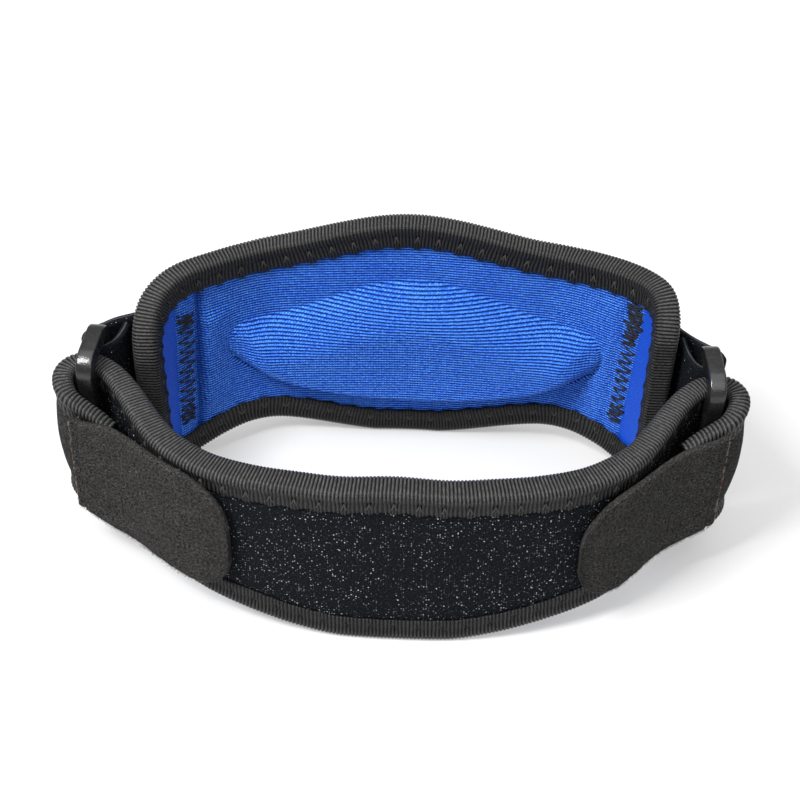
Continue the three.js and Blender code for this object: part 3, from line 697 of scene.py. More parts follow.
def stitch_paths(starts, ends, surface, lift, sink):
    """Stitches between needle holes: arches that dip into the cloth at both ends."""
    share = np.linspace(0, 1, 7)
    spots = starts[:, None] + (ends - starts)[:, None] * share[:, None]
    arch = np.sin(share * math.pi) ** 0.6
    sign = np.sign(lift)
    offset = surface(spots[..., 0], spots[..., 1]) + sign * (abs(lift) + sink) * arch - sign * sink
    return np.concatenate([spots, offset[..., None]], -1)


def lining_face(from_middle, height):
    return LINING_INNER - lining_rise(from_middle, height)


for side, seam in LINING_SEAMS.items():
    draw = np.random.default_rng(len(side))
    tack = seam["tack"]
    heights = np.linspace(seam["top_height"], seam["bottom_height"], 2 * seam["teeth"] + 1)
    reach = seam["half_width"] + draw.uniform(-0.25, 0.25, len(heights))
    swing = np.where(np.arange(len(heights)) % 2, reach, -reach)
    uneven = heights + draw.uniform(-0.2, 0.2, len(heights))
    holes = np.stack([seam_along(seam, heights) + swing, uneven], -1)
    passes = [holes]
    for part, shift in ((slice(0, tack), 0.5), (slice(0, tack), -0.7), (slice(-5, None), -0.4)):
        back = heights[part] + shift + draw.uniform(-0.2, 0.2, len(heights[part]))
        wander = draw.uniform(0.7, 1.0 + 0.07 * tack, len(back))
        passes.append(np.stack([seam_along(seam, back) - swing[part] * wander, back], -1))
    starts = np.concatenate([line[:-1] for line in passes])
    ends = np.concatenate([line[1:] for line in passes])
    paths = stitch_paths(starts, ends, lining_face, -SEAM_LIFT, SEAM_SINK)
    mesh = strand_mesh(f"{side}_lining_seam", paths, THREAD, on_panel, sides=6)
    fit_piece(f"{side}_lining_seam", mesh, "ribbed_tape", thread_finish)

# Panel binding: black ribbed tape about 14 mm wide, folded over the panel's edge all the way round.
# Stitches like small arrowheads hold both its edges and pull them into scallops.
RIB = 0.69
RIB_RELIEF = 0.27
SAMPLES_PER_RIB = 4
TAPE = 0.55
TAPE_FOLD = 6.0
PANEL_TAPE_DEPTH = 5.6
PANEL_TAPE_HALF = 2.075
STITCH_PITCH = 4.45
STITCH_TOP = 2.8
STITCH_FOOT = 4.5
STITCH_SPREAD = 0.62
STITCH_DENT = 0.34
STITCH_GROOVE = 0.12
TAPE_ROLL = 0.3
WARP = 0.34
# Tape colours: black valleys; paler colour on the rib crests, palest along the fold, as painted highlights
RIB_FOLD_PAINTED_HIGHLIGHT = (0.112, 0.110, 0.109, 1)
RIB_FLAT_PAINTED_HIGHLIGHT = (0.055, 0.054, 0.054, 1)
RIB_VALLEY = (0.0006, 0.0006, 0.0007, 1)

# Binding thread: black, with pale ply stripes that are partly painted highlight, standing in for the gloss
# of the black thread
tape_thread, tree, shader = new_finish("tape_thread", Roughness=0.42, Specular_IOR_Level=0.4)
twist_thread(tree, shader, (0.014, 0.014, 0.015, 1), (0.07, 0.07, 0.07, 1))


def bind_edge(name, put, length, half_at, depth, scallop, thread, ring, seed):
    """Ribbed tape folded over an edge, with its stitches; put takes run, depth in from the edge, offset."""
    ribs = round(length / RIB)
    count = ribs * SAMPLES_PER_RIB
    pitch = length / round(length / STITCH_PITCH)
    stations = np.arange(count if ring else count + 1) * length / count
    wave = np.abs(np.sin(np.arange(len(stations)) * math.pi / SAMPLES_PER_RIB)) ** 0.55
    half = np.broadcast_to(half_at(stations), stations.shape)[:, None]
    fold = np.minimum(1.0, half * 0.6)
    from_stitch = ((np.mod(stations / pitch, 1) - 0.5) * pitch)[:, None]
    swing = np.cos(2 * math.pi * from_stitch / pitch)
    edge = depth + scallop * swing + 0.12 * ripple(stations, 0, 17, seed)[:, None]
    flat_share = np.linspace(1, 0, 10)[:-1]
    angle = np.linspace(0, math.pi / 2, 5)
    one = np.ones_like(flat_share)
    offsets = np.concatenate([half * one, half - fold + fold * np.cos(angle)], 1)
    depths = np.concatenate([fold + (edge - fold) * flat_share, fold - fold * np.sin(angle)], 1)
    normal_offset = np.concatenate([one, np.cos(angle)])
    normal_depth = np.concatenate([0 * one, -np.sin(angle)])
    leg = STITCH_SPREAD * (depths - STITCH_TOP) / (STITCH_FOOT - STITCH_TOP)
    sewn = smooth_share(depths, STITCH_TOP - 0.3, STITCH_TOP + 0.3)
    under_leg = np.exp(-((abs(from_stitch) - leg) / 0.3) ** 2) * sewn
    dimple = np.exp(-(from_stitch / 0.6) ** 2 - ((depths - STITCH_TOP) / 0.5) ** 2)
    loose = smooth_share(depths, 2.0, 3.4)
    roll = TAPE_ROLL * np.exp(-((depths - 1.1) / 0.8) ** 2) - 0.15 * smooth_share(depths, 1.9, 2.8)
    push = RIB_RELIEF * (wave[:, None] - 0.7) + roll + loose * (0.1 + 0.1 * swing)
    push = push - STITCH_DENT * dimple - STITCH_GROOVE * under_leg
    push = push - 0.15 * smooth_share(depths, depth - 0.9, depth)
    unrest = 1 + 0.5 * ripple(stations, 0, 6, seed + 1)[:, None]
    gather = -0.7 * scallop * np.sin(2 * math.pi * from_stitch / pitch) * loose * unrest
    outside = (stations[:, None] + gather, depths + normal_depth * push, offsets + normal_offset * push)
    slot = half - TAPE
    inside = (np.repeat(stations[:, None], 2, 1), np.concatenate([edge, TAPE + 0 * half], 1),
              np.concatenate([slot, slot - 0.3], 1))
    parts = []
    for outer_part, inner_part in zip(outside, inside):
        parts.append(np.concatenate([outer_part, outer_part[:, ::-1], inner_part, inner_part[:, ::-1]], 1))
    size = outside[2].shape[1]
    parts[2][:, size:2 * size + 2] *= -1
    loops = put(*parts)
    around = np.linalg.norm(np.diff(loops[0], axis=0), axis=1) / MM
    across = np.concatenate([[0.0], np.cumsum(around), [around.sum() + TAPE]])
    mesh = skin_mesh(name + "_tape", loops, np.arange(count + 1) * RIB / SAMPLES_PER_RIB, across, ring)
    tape = fit_piece(name + "_tape", mesh, "ribbed_tape", tape_finish)
    apex = np.repeat(np.arange(0.5, length / pitch) * pitch, 2)
    foot = apex + np.tile([-STITCH_SPREAD, STITCH_SPREAD], len(apex) // 2)
    starts = np.stack([apex, np.full(len(apex), STITCH_TOP)], -1)
    ends = np.stack([foot, np.full(len(apex), STITCH_FOOT)], -1)
    faces = []
    for sign in (1, -1):
        def tape_face(run, depth_in):
            return sign * (half_at(run) - STITCH_GROOVE + 0 * depth_in)

        faces.append(stitch_paths(starts, ends, tape_face, sign * 0.1, 0.3))
    stitch_mesh = strand_mesh(name + "_stitches", np.concatenate(faces), THREAD * 0.9, put, sides=4)
    stitches = fit_piece(name + "_stitches", stitch_mesh, "ribbed_tape", thread)
    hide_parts(name)


tape_finish, tree, shader = new_finish("ribbed_tape", Roughness=0.4, Specular_IOR_Level=0.16)
cloth_place = add_node(tree, "ShaderNodeUVMap", uv_map=CLOTH_MAP).outputs[0]
place = add_node(tree, "ShaderNodeSeparateXYZ", {0: cloth_place}).outputs
yarn = use_group(tree, fibre_grain, {"Grain": 0.5, "Stretch": 0.28})["Shade"]
wear = use_group(tree, fibre_grain, {"Grain": 5.0, "Stretch": 1.5})["Shade"]
warp = wave_node(tree, place[1], WARP)
crest = wave_node(tree, place[0], RIB)
# Painted highlight: the rib crests get pale colour, strongest near the fold where the light catches the
# folded edge
painted_rib_highlight = sum_node(tree, "MULTIPLY", sum_node(tree, "POWER", yarn, 1.6), sum_node(tree, "POWER", crest, 2.2))
painted_rib_highlight = sum_node(tree, "MULTIPLY", painted_rib_highlight, sum_node(tree, "ADD", wear, 1.2))
from_fold = sum_node(tree, "ABSOLUTE", sum_node(tree, "SUBTRACT", place[1], TAPE_FOLD))
flat = add_node(tree, "ShaderNodeMapRange", {0: from_fold, 1: 1.4, 2: 2.8}).outputs[0]
painted_highlight_tint = mix_node(tree, flat, RIB_FOLD_PAINTED_HIGHLIGHT, RIB_FLAT_PAINTED_HIGHLIGHT)
tree.links.new(mix_node(tree, painted_rib_highlight, RIB_VALLEY, painted_highlight_tint), shader.inputs["Base Color"])
rough = add_node(tree, "ShaderNodeMapRange", {0: yarn, 1: 0.3, 2: 0.7, 3: 0.55, 4: 0.28}).outputs[0]
tree.links.new(rough, shader.inputs["Roughness"])
relief = sum_node(tree, "ADD", sum_node(tree, "MULTIPLY", warp, 0.6), yarn)
bump = add_node(tree, "ShaderNodeBump", {"Height": relief, "Strength": 0.6, "Distance": 0.1 * MM})
tree.links.new(bump.outputs[0], shader.inputs["Normal"])


def panel_corner(side, edge, first):
    """Points round one corner of the panel's outline, a quarter turn from a first quarter."""
    outward = 1 if side == "left" else -1
    upward = 1 if edge == "top" else -1
    radius = PANEL_CORNERS[side][edge]
    angle = (np.linspace(0, 1, 60, endpoint=False) + first) * math.pi / 2
    column = outward * (PANEL_HALF - radius) + radius * np.cos(angle)
    height = panel_middle(column) + upward * (PANEL_END_HEIGHT / 2 - radius) + radius * np.sin(angle)
    return np.stack([column, height - (0 if edge == "top" else PANEL_DROP)], -1)


def panel_side(edge):
    """Points along the panel's lower or upper edge, between its corners."""
    right, left = (PANEL_HALF - PANEL_CORNERS[side][edge] for side in ("right", "left"))
    column = np.arange(-right, left, 0.1)
    return np.stack([column, panel_edges(column, 0)[edge == "top"]], -1)


def walked_outline():
    """The panel's outline walked once round: run, places and headings, evenly spaced."""
    trail = np.concatenate([
        panel_side("foot"), panel_corner("left", "foot", -1), panel_corner("left", "top", 0),
        panel_side("top")[::-1], panel_corner("right", "top", 1), panel_corner("right", "foot", 2)])
    trail = np.concatenate([trail, trail[:1]])
    run = np.concatenate([[0.0], np.cumsum(np.linalg.norm(np.diff(trail, axis=0), axis=1))])
    even = np.linspace(0, run[-1], 2400)
    trail = np.stack([np.interp(even, run, trail[:, k]) for k in (0, 1)], -1)
    closed = np.concatenate([trail[-13:-1], trail, trail[1:13]])
    heading = closed[24:] - closed[:-24]
    heading /= np.linalg.norm(heading, axis=1, keepdims=True)
    return even, trail, heading


panel_outline = walked_outline()


def on_panel_edge(run, depth, offset):
    even, trail, heading = panel_outline
    run = np.mod(run, even[-1])
    column, height, run_column, run_height = (
        np.interp(run, even, part[:, k]) for part in (trail, heading) for k in (0, 1))
    return on_panel(column - run_height * depth, height + run_column * depth, offset)


def panel_half(run):
    return PANEL_TAPE_HALF + 0 * run


bind_edge("panel_binding", on_panel_edge, panel_outline[0][-1], panel_half, PANEL_TAPE_DEPTH,
          scallop=0.18, thread=tape_thread, ring=True, seed=4)

# Ring tabs: strips of the same loop fabric, sewn to the panel's outer face by the lining seams.
# Each goes round its ring's rear bar and back to the panel's end; the cut edge shows a thin paler core.
RING_TAB_BENDS = [
    (43.5, 22.9), (47.4, 19.9), (50.9, 16.9), (54, 14.4), (56.9, 12.4), (59.3, 10.6), (60.3, 8.2),
    (59.4, 6.1), (57.2, 5.4), (55.4, 6.6), (54.1, 8.9), (53.3, 11.4), (53, 13.2),
]
RING_TAB_HALF = 0.62
RING_TAB_WIDTH = 29.5
RING_TAB_MIDDLE = 24.8
RING_TAB_ROWS = 34
RING_TAB_STATIONS = 90
RING_TAB_WOBBLE = 0.15
RING_TAB_FUZZ = 0.05
RING_TAB_RIM = dict(half=0.14, rise=0.22)
RING_TAB_PILE = dict(spacing=1.3, loop=0.6, lift=0.25)
RING_TAB_SEAM = dict(start=1.2, end=4.6, reach=13.4, teeth=11, lift=0.2)
CORE_PALE = (0.11, 0.11, 0.115, 1)

tab_finish = pile_cloth("ring_tab_pile", 0.07)
edge_finish, tree, shader = new_finish("tab_cut_edge", Roughness=0.9, Specular_IOR_Level=0.2)
grain = use_group(tree, fibre_grain, {"Grain": 0.3, "Stretch": 2.0})["Shade"]
core_share = sum_node(tree, "POWER", grain, 1.6)
tree.links.new(mix_node(tree, core_share, PILE_LIGHT, CORE_PALE), shader.inputs["Base Color"])
bump = add_node(tree, "ShaderNodeBump", {"Height": grain, "Strength": 0.8, "Distance": 0.2 * MM})
tree.links.new(bump.outputs[0], shader.inputs["Normal"])

for side, name in ((-1, "left_ring_tab"), (1, "right_ring_tab")):
    line = plan_line([(side * x, y) for x, y in RING_TAB_BENDS])
    length = line[0][-1]
    stations = np.linspace(0, length, RING_TAB_STATIONS)[:, None]
    share = np.linspace(0, 1, RING_TAB_ROWS)
    wobble = RING_TAB_WOBBLE * ripple(stations, 0, 11, seed=6)
    heights = RING_TAB_MIDDLE + (share - 0.5) * RING_TAB_WIDTH + wobble
    fuzz = RING_TAB_FUZZ * ripple(stations, heights, 1.6, seed=7)
    face = on_wall(line, stations, RING_TAB_HALF + fuzz, heights)
    back = on_wall(line, stations, -RING_TAB_HALF + fuzz, heights)[:, ::-1]
    rim_offsets = np.array([[RING_TAB_RIM["half"], -RING_TAB_RIM["half"]]])
    upper = on_wall(line, stations, rim_offsets, heights[:, -1:] + RING_TAB_RIM["rise"])
    lower = on_wall(line, stations, -rim_offsets, heights[:, :1] - RING_TAB_RIM["rise"])
    loops = np.concatenate([face, upper, back, lower], 1)
    face_run = np.concatenate([share * RING_TAB_WIDTH, RING_TAB_WIDTH + np.array([0.4, 1.0])])
    run = both_faces(face_run, RING_TAB_WIDTH + 1.5)
    on_face = np.ones(loops.shape[1], bool)
    on_face[[RING_TAB_ROWS, 2 * RING_TAB_ROWS + 2]] = False
    mesh = skin_mesh(name + "_cloth", loops, stations[:, 0], run, outer_faces=on_face)
    tab = fit_piece(name + "_cloth", mesh, "loop_fabric", tab_finish, edge_finish)
    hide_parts(name)

    def on_ring_tab(along, height, offset):
        return on_wall(line, along, offset, height)

    spots, shares = scatter(length, RING_TAB_WIDTH - 1, RING_TAB_PILE["spacing"], seed=8)
    across = RING_TAB_MIDDLE + (shares - 0.5) * (RING_TAB_WIDTH - 1)
    both = []
    for facing, seed in ((1, 9), (-1, 10)):
        surface = np.full(len(spots), facing * RING_TAB_HALF)
        both.append(pile_paths(
            spots, across, surface, RING_TAB_PILE["loop"], facing * RING_TAB_PILE["lift"], seed))
    pile_mesh = strand_mesh(name + "_pile", np.concatenate(both), PILE_STRAND, on_ring_tab, sides=3)
    pile = fit_piece(name + "_pile", pile_mesh, "loop_fabric", loop_finish)

    def sewn_face(along, height):
        return -side * RING_TAB_HALF + 0 * along

    seam = RING_TAB_SEAM
    heights = RING_TAB_MIDDLE + np.linspace(seam["reach"], -seam["reach"], 2 * seam["teeth"] + 1)
    holes = np.stack([np.where(np.arange(len(heights)) % 2, seam["start"], seam["end"]), heights], -1)
    paths = stitch_paths(holes[:-1], holes[1:], sewn_face, -side * seam["lift"], SEAM_SINK)
    seam_mesh = strand_mesh(name + "_seam", paths, THREAD, on_ring_tab, sides=6)
    stitches = fit_piece(name + "_seam", seam_mesh, "ribbed_tape", thread_finish)

# Rings: two upright rectangular rings of satin black moulded plastic, with softened flat faces.
# Each joins the panel's ring tab to the front strap, which passes through it.
RING_FRONT = (58.3, -2.3)
RING_REAR = (57.3, 8.3)
RING_MIDDLE = 24.8
RING_HEIGHT = 38.0
RING_BAR = 3.2
RING_CORNER = 2.6
RING_SOFTNESS = 8.0
RING_BLACK = (0.003, 0.003, 0.0034, 1)
RING_SCUFFED = (0.012, 0.012, 0.0125, 1)

ring_finish, tree, shader = new_finish("ring_plastic", Roughness=0.4, Specular_IOR_Level=0.65)
place = add_node(tree, "ShaderNodeTexCoord").outputs["Object"]
scuff = add_node(tree, "ShaderNodeTexNoise",
                 {"Vector": place, "Scale": 420.0, "Detail": 5.0, "Roughness": 0.7}).outputs[0]
haze = add_node(tree, "ShaderNodeTexNoise", {"Vector": place, "Scale": 2600.0, "Detail": 2.0}).outputs[0]
tree.links.new(mix_node(tree, scuff, RING_BLACK, RING_SCUFFED), shader.inputs["Base Color"])
rough = add_node(tree, "ShaderNodeMapRange", {0: scuff, 1: 0.3, 2: 0.7, 3: 0.17, 4: 0.36}).outputs[0]
tree.links.new(rough, shader.inputs["Roughness"])
bump = add_node(tree, "ShaderNodeBump", {"Height": haze, "Strength": 0.6, "Distance": 0.08 * MM})
tree.links.new(bump.outputs[0], shader.inputs["Normal"])

for side, name in ((-1, "left_ring"), (1, "right_ring")):
    front, rear = (np.array([side * x, y]) for x, y in (RING_FRONT, RING_REAR))
    reach = np.linalg.norm(rear - front) / 2
    forward = (rear - front) / (2 * reach)
    sideways = np.array([forward[1], -forward[0]])
    centre = (rear + front) / 2
    rise = (RING_HEIGHT - RING_BAR) / 2
    spine = []
    outward = []
    for ahead, up, first in ((1, -1, -1), (1, 1, 0), (-1, 1, 1), (-1, -1, 2)):
        angle = (np.linspace(0, 1, 12) + first) * math.pi / 2
        pair = np.stack([np.cos(angle), np.sin(angle)], -1)
        corner = np.array([ahead * (reach - RING_CORNER), up * (rise - RING_CORNER)])
        spine.append(corner + RING_CORNER * pair)
        outward.append(pair)
    spine, outward = np.concatenate(spine), np.concatenate(outward)
    spin = np.linspace(0, 2 * math.pi, 32, endpoint=False)
    power = 2 / RING_SOFTNESS
    out = np.sign(np.cos(spin)) * np.abs(np.cos(spin)) ** power * RING_BAR / 2
    aside = np.sign(np.sin(spin)) * np.abs(np.sin(spin)) ** power * RING_BAR / 2
    level = spine[:, None] + outward[:, None] * out[:, None]
    plan = centre + level[..., :1] * forward + aside[:, None] * sideways
    loops = settled(plan[..., 0], plan[..., 1], RING_MIDDLE + level[..., 1])
    steps = np.linalg.norm(np.diff(spine, axis=0, append=spine[:1]), axis=1)
    mesh = skin_mesh(name + "_moulding", loops, np.concatenate([[0.0], np.cumsum(steps)]),
                     np.linspace(0, 4 * RING_BAR, 33), ring=True)
    ring = fit_piece(name + "_moulding", mesh, "ring_plastic", ring_finish)
    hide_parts(name)

# Front strap: a padded strap with loop pile on its outer face and brushed cloth on its inner face.
# Its ends pass out through the rings, fold back round their front bars and end under the hook tabs.
STRAP_BENDS = [  # x, y, width, middle height and thickness
    (0, -27.8, 40, 20, 4.8), (10, -27.5, 39.2, 19.6, 4.8), (18, -26.5, 37.8, 20.1, 4.8),
    (26, -24.7, 35.5, 20.6, 4.8), (34, -21.9, 33.4, 21.2, 4.8), (39, -19, 32.4, 21.7, 4.8),
    (43.3, -15.3, 31.6, 22.2, 4.6), (47.4, -9.6, 30.9, 23, 4.3), (50.6, -4.4, 30.3, 23.7, 4),
    (53.4, -0.7, 29.8, 24.3, 3.8), (56.2, 1.6, 29.4, 24.7, 3.8), (59, 2.5, 29.2, 25, 3.7),
    (61.4, 1.6, 29.2, 25.1, 3.6), (62.8, -0.6, 29, 25, 3.5), (62.6, -3.4, 28.6, 24.7, 3.3),
    (61.2, -5.6, 27.8, 24.2, 3), (58.5, -7, 26.4, 23.5, 2.7), (55.5, -8.3, 24.6, 22.9, 2.6),
    (53, -9.4, 21.8, 22.4, 2.6),
]
STRAP_TAPE_DEPTH = 5.2
STRAP_STEP = 0.8
STRAP_ROWS = 40
STRAP_FACE_INSET = 0.75
STRAP_PLUMPNESS = 0.3
STRAP_UNEVEN = 0.06
STRAP_PILE = dict(edge_margin=4.8, width=28, spacing=1.08, inset=0.45, loop=0.55, lift=0.34)
FOLD_CROWN = 1.5
FELT_DARK = (0.005, 0.0048, 0.0047, 1)
FELT_LIGHT = (0.070, 0.067, 0.065, 1)
FELT_FLECK = (0.10, 0.097, 0.095, 1)

felt_finish, tree, shader = new_finish("brushed_felt", Roughness=1.0, Specular_IOR_Level=0.1)
grain = use_group(tree, fibre_grain, {"Grain": 0.42, "Stretch": 1.3})["Shade"]
blotch = use_group(tree, fibre_grain, {"Grain": 3.0, "Stretch": 1.2})["Shade"]
tuft = add_node(tree, "ShaderNodeMapRange", {0: grain, 1: 0.36, 2: 0.68}).outputs[0]
shade = sum_node(tree, "MULTIPLY", tuft, sum_node(tree, "ADD", blotch, 0.3))
fleck = use_group(tree, glint_and_fleck_spots, {"Spacing": 0.45, "Share": 0.3, "Size": 0.2})["Glint"]
tint = mix_node(tree, shade, FELT_DARK, FELT_LIGHT)
tree.links.new(mix_node(tree, fleck, tint, FELT_FLECK), shader.inputs["Base Color"])
bump = add_node(tree, "ShaderNodeBump", {"Height": grain, "Strength": 0.8, "Distance": 0.25 * MM})
tree.links.new(bump.outputs[0], shader.inputs["Normal"])

strap_line = plan_line(mirrored(STRAP_BENDS))
STRAP_LENGTH = strap_line[0][-1]


def strap_size(along):
    width, middle, thick = (np.interp(along, strap_line[0], strap_line[1][:, k]) for k in (2, 3, 4))
    return np.maximum(0, middle - width / 2), middle + width / 2, thick / 2


stations = np.linspace(0, STRAP_LENGTH, round(STRAP_LENGTH / STRAP_STEP))[:, None]
low, high, half = strap_size(stations)
body = half - STRAP_FACE_INSET
share = np.linspace(0, 1, STRAP_ROWS)
heights = low + CUT_INSET + (high - low - 2 * CUT_INSET) * share
from_edge = np.minimum(heights - low, high - heights)
crown = STRAP_PLUMPNESS * smooth_share(from_edge, 4.9, 6.4) + 0.1 * np.sin(share * math.pi)
crown = crown + STRAP_UNEVEN * ripple(stations, heights, 1.7, seed=11)
fold_at = strap_line[0][np.argmax(strap_line[1][:, 0])]
from_fold = np.minimum(abs(stations - fold_at), abs(STRAP_LENGTH - fold_at - stations))
fold_crown = FOLD_CROWN * (1 - smooth_share(from_fold, 2.5, 8)) * np.sin(share * math.pi)
face = on_wall(strap_line, stations, body + crown, heights)
back = on_wall(strap_line, stations, -body - 0.3 * crown - fold_crown, heights)[:, ::-1]
on_face = np.arange(2 * len(share)) < len(share)
strap_mesh = skin_mesh("front_strap_cloth", np.concatenate([face, back], 1), stations[:, 0],
                       both_faces(share * 38, 40), outer_faces=on_face)
strap = fit_piece("front_strap_cloth", strap_mesh, "loop_fabric", pile_finish, felt_finish)
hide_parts("front_strap")


def on_strap(along, height, offset):
    return on_wall(strap_line, along, offset, height)


along, share = scatter(STRAP_LENGTH, STRAP_PILE["width"], STRAP_PILE["spacing"], seed=12)
pile_low, pile_high, half = strap_size(along)
pile_width = pile_high - pile_low - 2 * STRAP_PILE["edge_margin"]
across = pile_low + STRAP_PILE["edge_margin"] + pile_width * share
surface = half - STRAP_PILE["inset"]
paths = pile_paths(along, across, surface, STRAP_PILE["loop"], STRAP_PILE["lift"], seed=13)
pile_mesh = strand_mesh("front_strap_pile", paths, PILE_STRAND, on_strap, sides=3)
strap_pile = fit_piece("front_strap_pile", pile_mesh, "loop_fabric", loop_finish)

# Strap bindings: the same ribbed tape folded over the strap's top and bottom edges.
# They run from end to end, through the rings and round the folds.
def on_strap_top(run, depth, offset):
    return on_strap(run, strap_size(run)[1] - depth, offset)


def on_strap_bottom(run, depth, offset):
    return on_strap(run, strap_size(run)[0] + depth, offset)


def strap_half(run):
    return strap_size(run)[2]


bind_edge("strap_binding_top", on_strap_top, STRAP_LENGTH, strap_half, STRAP_TAPE_DEPTH,
          scallop=0.22, thread=tape_thread, ring=False, seed=14)
bind_edge("strap_binding_bottom", on_strap_bottom, STRAP_LENGTH, strap_half, STRAP_TAPE_DEPTH,
          scallop=0.08, thread=thread_finish, ring=False, seed=15)

# Hook tabs: charcoal brushed tape with hooks underneath, sewn to the folded strap ends.
# Their rounded free ends lie on the strap's loop pile and hold it; the cut edges are fuzzy.
HOOK_TAB_BENDS = [
    (62.7, -7.5), (59.6, -9.5), (56.4, -11.1), (53, -12.8), (49.7, -15.1), (46.2, -18.1),
    (41.2, -22), (35.5, -25.3), (28.75, -27.85),
]
HOOK_TAB_HALF = 0.6
SEAM_WIDTH = 24.5
SEAM_START = 2.2
FLARE_LENGTH = 10.0
HOOK_END_RADIUS = 10.0
# Reach is along the strap, seam middle is a height, droop is of the free end, and slant is the sewn end's
HOOK_TABS = {
    "left_hook_tab": dict(side=-1, reach=38.0, free_width=28.4, seam_middle=22.2, droop=0.2, slant=-1.6),
    "right_hook_tab": dict(side=1, reach=34.5, free_width=26.0, seam_middle=24.2, droop=4.4, slant=-1.4),
}
SEAM_INSET = 1.3
SEAM_REACH = 13.6
SEAM_GROOVE = 0.35
HOOK_STITCHES = 14
HALF_SPAN = 14.0
HOOK_ROWS = 80
HOOK_STEP = 0.36
FRAY_COUNT = 60
FRAY_STRAND = 0.055
FUZZ_COUNT = 2600
FUZZ_STRAND = (0.035, 0.012)
FUZZ_PALE = (0.30, 0.30, 0.31, 1)
FRAY_PALE = (0.17, 0.16, 0.14, 1)
FRAY_RUST = (0.16, 0.06, 0.035, 1)

fuzz_finish, tree, shader = new_finish("felt_fuzz", Roughness=0.9, Specular_IOR_Level=0.2)
island = add_node(tree, "ShaderNodeNewGeometry").outputs["Random Per Island"]
pale = sum_node(tree, "POWER", island, 9.0)
tree.links.new(mix_node(tree, pale, FELT_LIGHT, FUZZ_PALE), shader.inputs["Base Color"])

fray_finish, tree, shader = new_finish("pale_fray", Roughness=0.8, Specular_IOR_Level=0.2)
island = add_node(tree, "ShaderNodeNewGeometry").outputs["Random Per Island"]
warm = sum_node(tree, "GREATER_THAN", island, 0.78)
tree.links.new(mix_node(tree, warm, FRAY_PALE, FRAY_RUST), shader.inputs["Base Color"])

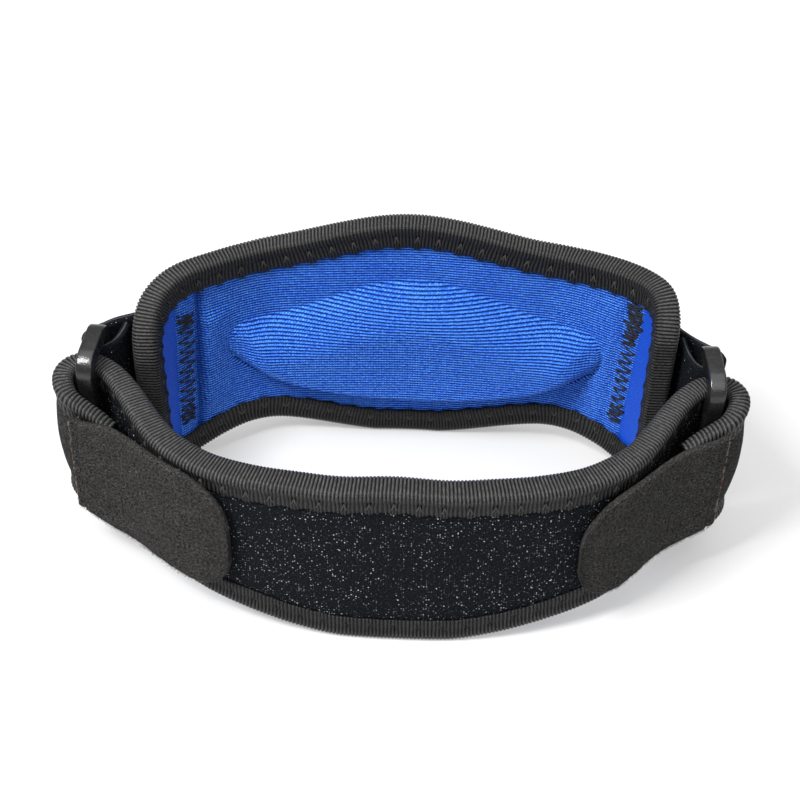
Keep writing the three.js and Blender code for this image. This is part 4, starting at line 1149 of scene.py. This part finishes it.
for name, tab in HOOK_TABS.items():
    side, reach = tab["side"], tab["reach"]
    line = plan_line([(side * x, y) for x, y in HOOK_TAB_BENDS])

    def on_tab(along, across, offset):
        """Across runs from -HALF_SPAN at the tab's lower edge to HALF_SPAN at its upper edge."""
        flare = smooth_share(along, SEAM_START, SEAM_START + FLARE_LENGTH)
        width = SEAM_WIDTH + (tab["free_width"] - SEAM_WIDTH) * flare
        half_width = width / 2 - corner_loss(reach - along, HOOK_END_RADIUS)
        middle = tab["seam_middle"] - tab["droop"] * along / reach
        height = middle + across / HALF_SPAN * half_width
        slant = tab["slant"] * (1 - along / reach) * (middle + half_width - height) / width
        return on_wall(line, along + slant, -side * offset, height)

    corner = reach - HOOK_END_RADIUS * (1 - np.cos(np.linspace(0, 1, 28) * math.pi / 2))
    straight = np.arange(SEAM_START, reach - HOOK_END_RADIUS - 0.2, HOOK_STEP)
    stations = np.concatenate([straight, corner[::-1]])[:, None]
    across = np.linspace(-HALF_SPAN, HALF_SPAN, HOOK_ROWS)
    rim = abs(across) / HALF_SPAN
    nap = 0.07 * ripple(stations, across, 0.9, seed=16) + 0.05 * ripple(stations, across, 3.1, seed=17)
    ragged = 1 + 0.006 * ripple(stations, 0, 1.1, seed=18) * (rim > 0.9)
    soft = 0.35 * smooth_share(rim, 0.95, 1.0)
    groove = SEAM_GROOVE * np.exp(-((stations - SEAM_START - SEAM_INSET) / 0.4) ** 2)
    face = on_tab(stations, across * ragged, HOOK_TAB_HALF + nap - soft - groove)
    under = on_tab(stations, across * ragged, -HOOK_TAB_HALF + 0.1 + 0 * nap)[:, ::-1]
    run = np.concatenate([across, 30 + across, [46]])
    mesh = skin_mesh(name + "_felt", np.concatenate([face, under], 1), stations[:, 0], run)
    felt = fit_piece(name + "_felt", mesh, "hook_tape", felt_finish)
    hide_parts(name)

    def groove_face(along, across):
        return HOOK_TAB_HALF - SEAM_GROOVE + 0 * along

    needle = np.linspace(-SEAM_REACH, SEAM_REACH, HOOK_STITCHES + 1)
    seam_line = np.full(HOOK_STITCHES, SEAM_START + SEAM_INSET)
    starts, ends = (np.stack([seam_line, spots], -1) for spots in (needle[:-1] + 0.11, needle[1:] - 0.11))
    lines = stitch_paths(starts, ends, groove_face, 0.12, 0.3)
    seam_mesh = strand_mesh(name + "_seam", lines, 0.15, on_tab)
    seam = fit_piece(name + "_seam", seam_mesh, "hook_tape", thread_finish)

    # Frayed threads along the sewn end
    draw = np.random.default_rng(19 + side)
    count = (FRAY_COUNT, 1)
    steps = np.linspace(0, 1, 5)
    fray = np.stack([
        SEAM_START + draw.uniform(-0.12, 0.22, count) + draw.uniform(-0.15, 0.15, count) * steps,
        draw.uniform(-SEAM_REACH, SEAM_REACH - 1, count) + draw.uniform(0.3, 1.5, count) * steps,
        HOOK_TAB_HALF - 0.05 + draw.uniform(0, 0.2, count) * np.sin(steps * 3.1),
    ], -1)
    fray_mesh = strand_mesh(name + "_fray", fray, FRAY_STRAND, on_tab, sides=4)
    frayed = fit_piece(name + "_fray", fray_mesh, "hook_tape", fray_finish)

    # Hairs along the long edges, then hairs all over the face
    count = FUZZ_COUNT
    edge_side = np.where(draw.uniform(size=count) < 0.5, -1.0, 1.0)
    edge_root = np.stack([
        draw.uniform(SEAM_START, reach, count),
        edge_side * HALF_SPAN * draw.uniform(0.96, 1.0, count),
        draw.uniform(-0.4, HOOK_TAB_HALF, count),
    ], -1)
    edge_lean = np.stack([
        draw.normal(0, 0.22, count),
        edge_side * draw.uniform(0.1, 0.45, count),
        draw.uniform(-0.05, 0.3, count),
    ], -1)
    face_root = np.stack([
        draw.uniform(SEAM_START + 0.4, reach - 0.3, count),
        draw.uniform(-SEAM_REACH, SEAM_REACH, count),
        np.full(count, HOOK_TAB_HALF - 0.02),
    ], -1)
    face_lean = np.stack([
        draw.normal(0, 0.22, count),
        draw.normal(0, 0.22, count),
        draw.uniform(0.03, 0.2, count),
    ], -1)
    root = np.concatenate([edge_root, face_root])
    lean = np.concatenate([edge_lean, face_lean])
    hairs = np.stack([root, root + lean], 1)
    fuzz_mesh = strand_mesh(name + "_fuzz", hairs, np.array(FUZZ_STRAND), on_tab, sides=3)
    fuzz = fit_piece(name + "_fuzz", fuzz_mesh, "hook_tape", fuzz_finish)

# Floor, light and camera: a plain pale floor that glows a little, so that shadows stay light.
# Soft lights stand at the front left, at the front right and overhead, in a white surround.
SURROUND = 0.40
LIGHTS = {  # place, size and power
    "key": ((-0.38, -0.27, 0.75), 0.26, 8.8),
    "fill": ((0.22, -0.50, 0.70), 0.5, 1.8),
    "top": ((0.0, 0.1, 0.9), 1.0, 5.2),
}
LIGHTS_AIM = (0.0, 0.0, 0.025)

floor_mesh = bpy.data.meshes.new("floor")
floor_mesh.from_pydata([(-3, -3, 0), (3, -3, 0), (3, 3, 0), (-3, 3, 0)], [], [(0, 1, 2, 3)])
floor = bpy.data.objects.new("floor", floor_mesh)
bpy.context.collection.objects.link(floor)
floor_finish, tree, shader = new_finish(
    "floor_paper", Base_Color=(0.45, 0.45, 0.45, 1), Roughness=0.9, Specular_IOR_Level=0.2,
    Emission_Color=(1, 1, 1, 1), Emission_Strength=0.35)
floor_mesh.materials.append(floor_finish)

world = bpy.data.worlds.new("studio")
world.use_nodes = True
world.node_tree.nodes["Background"].inputs[0].default_value = (1, 1, 1, 1)
world.node_tree.nodes["Background"].inputs[1].default_value = SURROUND
bpy.context.scene.world = world
for name, (place, size, power) in LIGHTS.items():
    lamp = bpy.data.lights.new(name, "AREA")
    lamp.size = size
    lamp.energy = power
    light = bpy.data.objects.new(name, lamp)
    light.location = place
    aim = np.array(LIGHTS_AIM) - np.array(place)
    light.rotation_euler = (math.atan2(math.hypot(aim[0], aim[1]), -aim[2]), 0,
                            math.atan2(aim[1], aim[0]) - math.pi / 2)
    bpy.context.collection.objects.link(light)

camera_data = bpy.data.cameras.new("camera")
camera_data.lens = 90
camera_data.sensor_width = 36
camera_data.clip_start = 0.01
camera = bpy.data.objects.new("camera", camera_data)
camera.location = (0.014586, -0.270822, 0.295815)
camera.rotation_euler = (math.radians(46), 0, math.radians(3.06))
bpy.context.collection.objects.link(camera)
bpy.context.scene.camera = camera
bpy.context.scene.view_settings.view_transform = "Standard"
